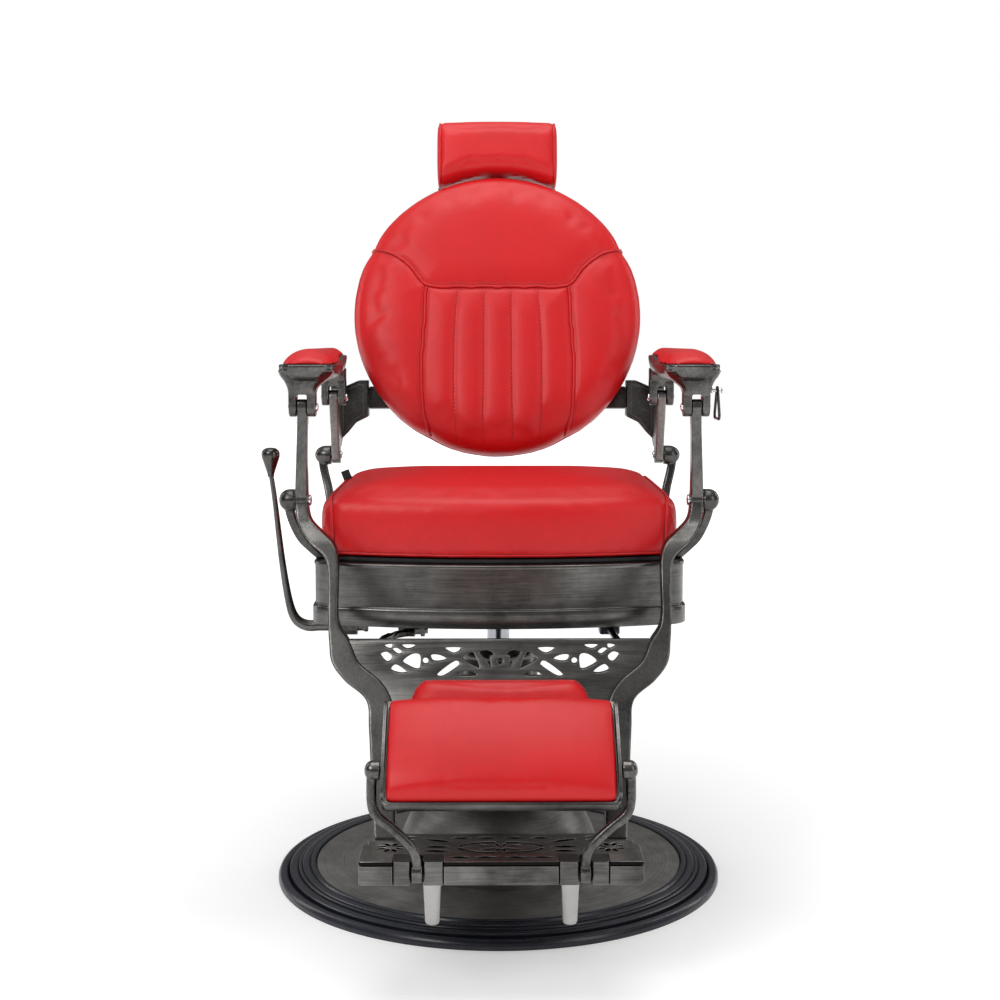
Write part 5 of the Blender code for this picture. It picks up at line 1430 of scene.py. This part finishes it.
def press(obj, paths, depth, width, spacing=1.5 * MM):
    """Pulls the skin in along some lines: depth at the line, fading over width."""
    points = [point for path in paths for point in resampled(path, spacing)]
    tree = KDTree(len(points))
    for i, point in enumerate(points):
        tree.insert(point, i)
    tree.balance()
    shifts = []
    for vert in obj.data.vertices:
        distance = tree.find(vert.co)[2]
        shifts.append(vert.normal * (-depth * math.exp(-((distance / width) ** 2))) if distance < 3 * width
                      else None)
    for vert, shift in zip(obj.data.vertices, shifts):
        if shift:
            vert.co += shift


def laid_on(skin, path, lift, spacing=2.5 * MM, closed=False):
    """The path moved onto a surface and raised a little above it."""
    result = []
    for point in resampled(path, spacing, closed):
        place, normal, _, _ = skin.find_nearest(point)
        result.append((place, normal))
    places = [place for place, _ in result]
    normals = [normal for _, normal in result]
    count = len(places)
    smooth = []
    for i in range(count):
        if closed:
            window = [(i + k) % count for k in (-1, 0, 1)]
        else:
            window = [max(i - 1, 0), i, min(i + 1, count - 1)]
        place = sum((places[k] for k in window), Vector()) / 3
        normal = sum((normals[k] for k in window), Vector()).normalized()
        smooth.append(place + normal * lift)
    return smooth


def piping(name, skin, paths, body, radius=1.9 * MM, lift=0.6 * MM, closed=False):
    """A corded seam: one thin roll of leather along each path, with a wider dark tube sunk under it as
    painted shade on both sides.
    """
    tubes = [tube(laid_on(skin, path, lift, closed=closed), radius, 10, closed=closed) for path in paths]
    piece(name, gathered(*tubes), body, red_piping, sharp_over=0)
    # Painted shade: a wider dark tube sunk under the piping shows as a dark line on each side of it.
    gap = [tube(laid_on(skin, path, lift - 0.9 * radius, closed=closed), 1.30 * radius, 10, closed=closed)
           for path in paths]
    piece(f"{name}_seam_shade", gathered(*gap), body, thread, sharp_over=0)


def stitches(name, skin, paths, body, length=4.2 * MM, gap=3.2 * MM, radius=0.55 * MM, lift=0.1 * MM):
    """Short lengths of thread that lie in a row along each path."""
    threads = []
    for path in paths:
        line = laid_on(skin, path, lift, spacing=1.0 * MM)
        step = length + gap
        total = len(line) * 1.0 * MM
        for i in range(int(total / step)):
            start = int(i * step / MM)
            stretch = line[start : start + max(3, int(length / MM))]
            if len(stretch) > 2:
                radii = [radius * (0.6 if k in (0, len(stretch) - 1) else 1.0) for k in range(len(stretch))]
                threads.append(tube(stretch, radii, 6))
    return piece(name, gathered(*threads), body, thread, sharp_over=0)


def finish_cushion(obj, body, replaces):
    obj.data.shade_smooth()
    finish_piece(obj, body, red, replaces)
    return obj


def build_seat_cushion():
    levels = [
        (20 * MM, 0.5370),
        (11 * MM, 0.5410),
        (9 * MM, 0.555),
        (8.5 * MM, 0.585),
        (9.5 * MM, 0.604),
        (14 * MM, 0.616),
        (26 * MM, 0.624),
        (60 * MM, 0.632),
        (120 * MM, 0.639),
        (175 * MM, 0.6415),
    ]
    rings = [[(x, y, z) for x, y in seat_outline(inset)] for inset, z in levels]

    def cap(point):
        low = min(1.0, max(0.0, (point.z - 0.540) / 0.030))
        high = min(1.0, max(0.0, (point.z - 0.600) / 0.025))
        return (0.4 + 1.8 * low + 3.8 * high) * MM

    cushion = inflate("seat_pad", loft(rings), 6.5 * MM, cap)
    corner_y = seat_front(0.242)
    rows = [  # a seam up each front corner and back along the side's top edge
        (0.2425, corner_y + 0.004, 0.5385),
        (0.2425, corner_y + 0.003, 0.560),
        (0.2425, corner_y + 0.005, 0.590),
        (0.2435, corner_y + 0.014, 0.612),
        (0.2450, corner_y + 0.040, 0.6235),
        (0.2460, -0.140, 0.6270),
        (0.2460, -0.040, 0.6275),
        (0.2460, 0.080, 0.6270),
        (0.2450, 0.150, 0.6230),
        (0.2420, 0.178, 0.6130),
    ]
    seams = []
    for side in SIDES.values():
        path = [(side * x, y, z) for x, y, z in rows]
        seams.append(smooth_rows(path, 8))
    press(cushion, seams, 2.4 * MM, 9 * MM)
    skin = surface(cushion)
    finish_cushion(cushion, "seat", ["seat_cushion"])
    piping("seat_piping", skin, seams, "seat", radius=2.3 * MM, lift=1.2 * MM)
    hem = [(x, y, 0.5415) for x, y in seat_outline(12 * MM)]
    piping("seat_hem_cord", skin, [hem], "seat", radius=1.6 * MM, closed=True)

    corners = [(-0.2457, 0.6205), (-0.2337, 0.6270), (-0.2391, 0.6411), (-0.2516, 0.6364)]
    tag = prism(corners, 0.0490, 0.0502, facing_front)
    piece("seat_tag", tag, "seat", tag_cloth, bevel=0.2 * MM)


def build_back_cushion():
    radius = BACK_RADIUS
    profile = [(0, -29.5 * MM), (radius - 20 * MM, -29.5 * MM), (radius - 14 * MM, -27 * MM),
               (radius - 5 * MM, -16 * MM), (radius - 3 * MM, 0), (radius - 5.5 * MM, 14 * MM),
               (radius - 15 * MM, 27 * MM), (radius - 35 * MM, 35 * MM), (0.70 * radius, 38.5 * MM),
               (0.40 * radius, 39 * MM), (0, 38.5 * MM)]
    smooth = [profile[0], profile[1], *smooth_rows(profile[2:], 4)]
    shape = lathe([(max(r, 0), out) for r, out in smooth], 120, BACK_CENTRE, "BACK")
    out_axis = back_out()

    def cap(point):
        out = (point - BACK_CENTRE).dot(out_axis)
        rim = min(1.0, max(0.0, (out + 0.024) / 0.020))
        face = min(1.0, max(0.0, (out - 0.018) / 0.015))
        return (0.3 + 2.9 * rim + 2.6 * face) * MM

    cushion = inflate("back_pad", shape, 6.0 * MM, cap)

    on_face = [(-0.193, 0.1050), (-0.168, 0.092), (-0.145, 0.073), (-0.128, 0.050), (-0.117, 0.0413),
               (-0.092, 0.0379), (-0.040, 0.0379)]
    half_yoke = [(-0.2170, 0.1120, -0.012), (-0.2160, 0.1125, 0.012), (-0.2090, 0.1105, 0.032),
                 *[(x, up, BACK_FACE) for x, up in on_face]]
    yoke = half_yoke + [(-x, up, out) for x, up, out in reversed(half_yoke)]
    yoke_line = [on_back(*row) for row in smooth_rows(yoke, 6)]
    side_rows = [(0.1195, 0.038, BACK_FACE), (0.1228, -0.030, BACK_FACE), (0.1266, -0.098, BACK_FACE),
                 (0.1248, -0.175, 0.040), (0.1190, -0.206, 0.028), (0.1150, -0.214, 0.000)]
    seams = [yoke_line]
    lines = []
    edge_stitches = []
    for side in SIDES.values():
        seams.append([on_back(side * x, up, out) for x, up, out in smooth_rows(side_rows, 8)])
        beside = smooth_rows(side_rows[:-1], 8)
        edge_stitches.append([on_back(side * (x + 5.5 * MM), up, out) for x, up, out in beside])
        outer = [(0.067, 0.0300), (0.0715, -0.030), (0.0727, -0.098), (0.0725, -0.158), (0.071, -0.232)]
        inner = [(0.0225, 0.0300), (0.0232, -0.098), (0.0240, -0.170), (0.0243, -0.238)]
        for rows in (outer, inner):
            lines.append([on_back(side * x, up, BACK_FACE) for x, up in smooth_rows(rows, 8)])
    press(cushion, seams, 3.5 * MM, 24 * MM)
    press(cushion, seams, 3.6 * MM, 6 * MM)
    press(cushion, lines, 2.2 * MM, 12 * MM)
    press(cushion, lines, 2.2 * MM, 4 * MM)
    skin = surface(cushion)
    finish_cushion(cushion, "back", ["back_cushion"])
    piping("back_piping", skin, seams, "back", radius=2.3 * MM, lift=1.3 * MM)
    stitches("back_seam_stitches", skin, edge_stitches, "back", length=3.4 * MM, gap=2.4 * MM,
             radius=0.55 * MM)
    stitches("back_stitches", skin, lines, "back", length=3.8 * MM, gap=2.6 * MM, radius=0.9 * MM,
             lift=0.4 * MM)
    ring = [on_back(x, up, -21 * MM) for x, up in circle((0, 0), radius - 2 * MM, 96)]
    piping("back_rim_cord", skin, [ring], "back", radius=2.0 * MM, closed=True)


def headrest_outline(inset, steps=40):
    """Straight top and sides, and a hollow underside that follows the round back."""
    half = HEADREST_HALF_WIDTH - inset
    top = 0.344 - inset
    corner = 5 * MM
    radius = 0.2495 + 0.4 * inset
    points = []
    for i in range(steps + 1):
        x = -half + 2 * half * i / steps
        points.append((x, math.sqrt(radius * radius - x * x)))
    points += arc((half - corner, top - corner), corner, 0, 90, 6)
    for i in range(1, steps):
        x = half - corner - (2 * half - 2 * corner) * i / steps
        points.append((x, top + 2.5 * MM * math.cos(math.pi / 2 * x / half)))
    points += arc((corner - half, top - corner), corner, 90, 180, 6)
    return points


def build_headrest_cushion():
    levels = [(8 * MM, -29.6 * MM), (3 * MM, -24 * MM), (2.5 * MM, 8 * MM), (6 * MM, 20 * MM),
              (15 * MM, 27 * MM), (32 * MM, 30 * MM)]
    rings = []
    for inset, out in levels:
        squeeze = (HEADREST_HALF_WIDTH - 3 * MM) / (HEADREST_HALF_WIDTH - inset)
        rings.append([on_back(x * squeeze, up, out) for x, up in headrest_outline(inset)])
    out_axis = back_out()

    def cap(point):
        out = (point - BACK_CENTRE).dot(out_axis)
        inward = 1 - min(1.0, abs(point.x) / 0.1015) ** 6
        return (0.3 + (0.6 + 4.0 * inward) * min(1.0, max(0.0, (out + 0.022) / 0.015))) * MM

    cushion = inflate("headrest_pad", loft(rings), 4.0 * MM, cap)
    seam_x = HEADREST_HALF_WIDTH - 6.5 * MM
    rows = [(0.2305, -0.024), (0.2310, 0.008), (0.2360, 0.022), (0.250, 0.030), (0.290, 0.033),
            (0.322, 0.030), (0.3375, 0.018), (0.3415, 0.000), (0.3415, -0.024)]
    seams = [[on_back(side * seam_x, up, out) for up, out in smooth_rows(rows, 8)]
             for side in SIDES.values()]
    press(cushion, seams, 1.6 * MM, 6 * MM)
    skin = surface(cushion)
    finish_cushion(cushion, "headrest", ["headrest_cushion"])
    piping("headrest_piping", skin, seams, "headrest", radius=2.0 * MM, lift=0.8 * MM)


def build_armrest_pads():
    edge = 4.5 * MM
    crest = 0.8325
    rows = smooth_rows(ARMREST_ROWS, 6)
    front, back = rows[0][0] + edge, rows[-1][0] - edge
    for name, side in SIDES.items():
        rings = []
        for y, middle, half in rows:
            y = front + (y - rows[0][0]) * (back - front) / (rows[-1][0] - rows[0][0])
            base = 0.8127 + saddle(y)
            end = min(1.0, (y - front) / 0.045, (back - y) / 0.045)
            top = 3 * MM + (crest - base - 3 * MM) * math.sin(math.pi / 2 * max(0.0, end)) ** 0.7
            section = []
            for i in range(17):
                angle = math.pi * i / 16
                reach = math.cos(angle)
                section.append((middle + (half - edge) * reach,
                                base + 1 * MM + (top - 1 * MM) * math.sin(angle) ** 1.7))
            section += [(middle - (half - edge), base), (middle + (half - edge), base)]
            rings.append([(side * x, y, z) for x, z in section])

        def cap(point):
            above = point.z - 0.8147 - saddle(point.y)
            return (0.2 + 1.6 * min(1.0, max(0.0, above / (6 * MM)))) * MM

        pad = inflate(f"armrest_cushion_{name}", loft(rings), 3.2 * MM, cap)
        body = f"armrest_{name}"
        finish_cushion(pad, body, [f"{body}_pad"])


def build_calf_pad():
    face = -PANEL_HALF_THICKNESS

    def outline(inset):
        return rounded_rectangle(inset - 0.1235, 0.1235 - inset, 0.262 + inset, 0.385 - inset, 0.026, 10)

    levels = [(6 * MM, 0.3 * MM), (3 * MM, 3 * MM), (3 * MM, 9 * MM), (6 * MM, 14 * MM), (14 * MM, 18 * MM),
              (30 * MM, 20 * MM)]
    rings = [[on_leg_slope(x, z, face - out) for x, z in outline(inset)] for inset, out in levels]

    def cap(point):
        out = leg_y(point.z) + face - point.y
        return (0.2 + 3.3 * min(1.0, max(0.0, (out - 0.003) / 0.006))) * MM

    pad = inflate("calf_cushion", loft(rings), 4.0 * MM, cap)
    skin = surface(pad)
    finish_cushion(pad, "leg_frame", ["calf_pad"])
    edge = [on_leg_slope(x, z, face - 5 * MM) for x, z in outline(0.5 * MM)]
    piping("calf_piping", skin, [edge], "leg_frame", radius=1.5 * MM, lift=0.2 * MM, closed=True)


def build_footrest_cushion():
    bottom = -4.6 * MM
    rings = []
    half = PAD_HALF_WIDTH
    for offset, inset in ((0.6, 4.5), (1.2, 2.6), (2.4, 1.4), (5.0, 0.9), (10.0, 0.8), (30.0, 0.8),
                          (60.0, 0.8), (100.0, 0.8)):
        x = offset * MM - half
        swell = 5.5 * MM * (1 - (x / half) ** 2)
        face = [(up + swell * max(0.0, up / PAD_LENGTH - 0.5) * 2, out + swell * min(1.0, out / 0.020))
                for up, out in footrest_crown(inset * MM)]
        ring = [(face[0][0], bottom), *face, (face[-1][0], bottom)]
        rings.append([on_footrest(x, up, out) for up, out in ring])
    rings += [[Vector((-point.x, point.y, point.z)) for point in ring] for ring in reversed(rings)]
    normal = on_footrest(0, 0, 1) - PAD_LOW_EDGE

    def cap(point):
        out = (point - PAD_LOW_EDGE).dot(normal)
        middle = 1 - min(1.0, abs(point.x) / 0.140) ** 4
        return (0.1 + (0.7 + 2.6 * middle) * min(1.0, max(0.0, (out - 0.008) / 0.008))) * MM

    pad = inflate("footrest_pad_cushion", loft(rings), 4.0 * MM, cap)
    finish_cushion(pad, "footrest_pad", ["footrest_cushion"])


# ---------------------------------------------------------------- camera, light and floor


def build_camera():
    camera = bpy.data.cameras.new("camera")
    camera.lens = 57.6
    camera.sensor_width = 36
    obj = bpy.data.objects.new("camera", camera)
    obj.location = (-0.0175, -2.503, 0.845)
    obj.rotation_euler = (math.radians(90 - 5.68), 0, -math.atan(0.00803))
    bpy.context.scene.collection.objects.link(obj)
    bpy.context.scene.camera = obj


def area_light(name, place, target, size, power):
    light = bpy.data.lights.new(name, "AREA")
    light.shape = "RECTANGLE"
    light.size, light.size_y = size
    light.energy = power
    obj = bpy.data.objects.new(name, light)
    obj.location = place
    obj.rotation_euler = (Vector(target) - Vector(place)).to_track_quat("-Z", "Y").to_euler()
    bpy.context.scene.collection.objects.link(obj)


def build_stage():
    floor = bmesh.new()
    bmesh.ops.create_circle(floor, cap_ends=True, radius=14, segments=96)
    obj = as_object("floor", floor)
    material, tree, shader = new_material("floor_paper", Roughness=0.85, Emission_Strength=1.0)
    distance = vector_maths(tree, "LENGTH", object_coordinates(tree))
    glow = ramp(tree, maths(tree, "MULTIPLY", distance, 0.1),
                [(0.05, 0.30), (0.18, 0.50), (0.42, 0.92), (0.60, 1.0)])
    tree.links.new(glow, shader.inputs["Emission Color"])
    tone = ramp(tree, noise(tree, object_coordinates(tree), 1.4, 2.0),
                [(0.3, (0.80, 0.80, 0.80)), (0.7, (0.84, 0.84, 0.84))])
    tree.links.new(tone, shader.inputs["Base Color"])
    obj.data.materials.append(material)
    build_world()
    area_light("key", (-1.7, -2.6, 2.5), (0, -0.1, 0.60), (1.3, 1.3), 40)
    area_light("fill", (2.3, -2.3, 1.6), (0, 0, 0.60), (0.9, 1.9), 15)
    area_light("top", (0, -0.3, 3.0), (0, 0, 0.5), (2.0, 2.0), 36)
    area_light("rim_left", (-2.3, 1.0, 1.3), (0, 0, 0.6), (0.4, 2.0), 11)
    area_light("rim_right", (2.3, 1.0, 1.3), (0, 0, 0.6), (0.4, 2.0), 11)


def build_world():
    """A white backdrop, and a dimmer surround that gives the metal something to reflect."""
    world = bpy.data.worlds.new("studio")
    world.use_nodes = True
    tree = world.node_tree
    surround = tree.nodes["Background"]
    parts = tree.nodes.new("ShaderNodeSeparateXYZ")
    tree.links.new(tree.nodes.new("ShaderNodeTexCoord").outputs["Generated"], parts.inputs[0])
    height = maths(tree, "MULTIPLY_ADD", parts.outputs["Z"], 0.5, 0.5)
    tree.links.new(ramp(tree, height, [(0.25, 0.12), (0.49, 0.06), (0.60, 0.13), (0.90, 0.50)]),
                   surround.inputs["Color"])
    backdrop = tree.nodes.new("ShaderNodeBackground")
    backdrop.inputs["Color"].default_value = (1, 1, 1, 1)
    mix = tree.nodes.new("ShaderNodeMixShader")
    tree.links.new(tree.nodes.new("ShaderNodeLightPath").outputs["Is Camera Ray"], mix.inputs[0])
    tree.links.new(surround.outputs[0], mix.inputs[1])
    tree.links.new(backdrop.outputs[0], mix.inputs[2])
    tree.links.new(mix.outputs[0], tree.nodes["World Output"].inputs["Surface"])
    bpy.context.scene.world = world
    bpy.context.scene.view_settings.view_transform = "Standard"


build_camera()
build_stage()
build_base()
build_pump_cover()
build_pump()
build_pedal()
build_apron()
build_seat_arms()
build_underside()
build_lever()
build_back_board()
build_back_brackets()
build_armrest_castings()
build_strop_ring()
build_legs()
build_calf_panel()
build_foot_plate()
build_foot_blocks()
build_yoke()
build_footrest_arms()
build_footrest_tray()
build_seat_cushion()
build_back_cushion()
build_headrest_cushion()
build_armrest_pads()
build_calf_pad()
build_footrest_cushion()
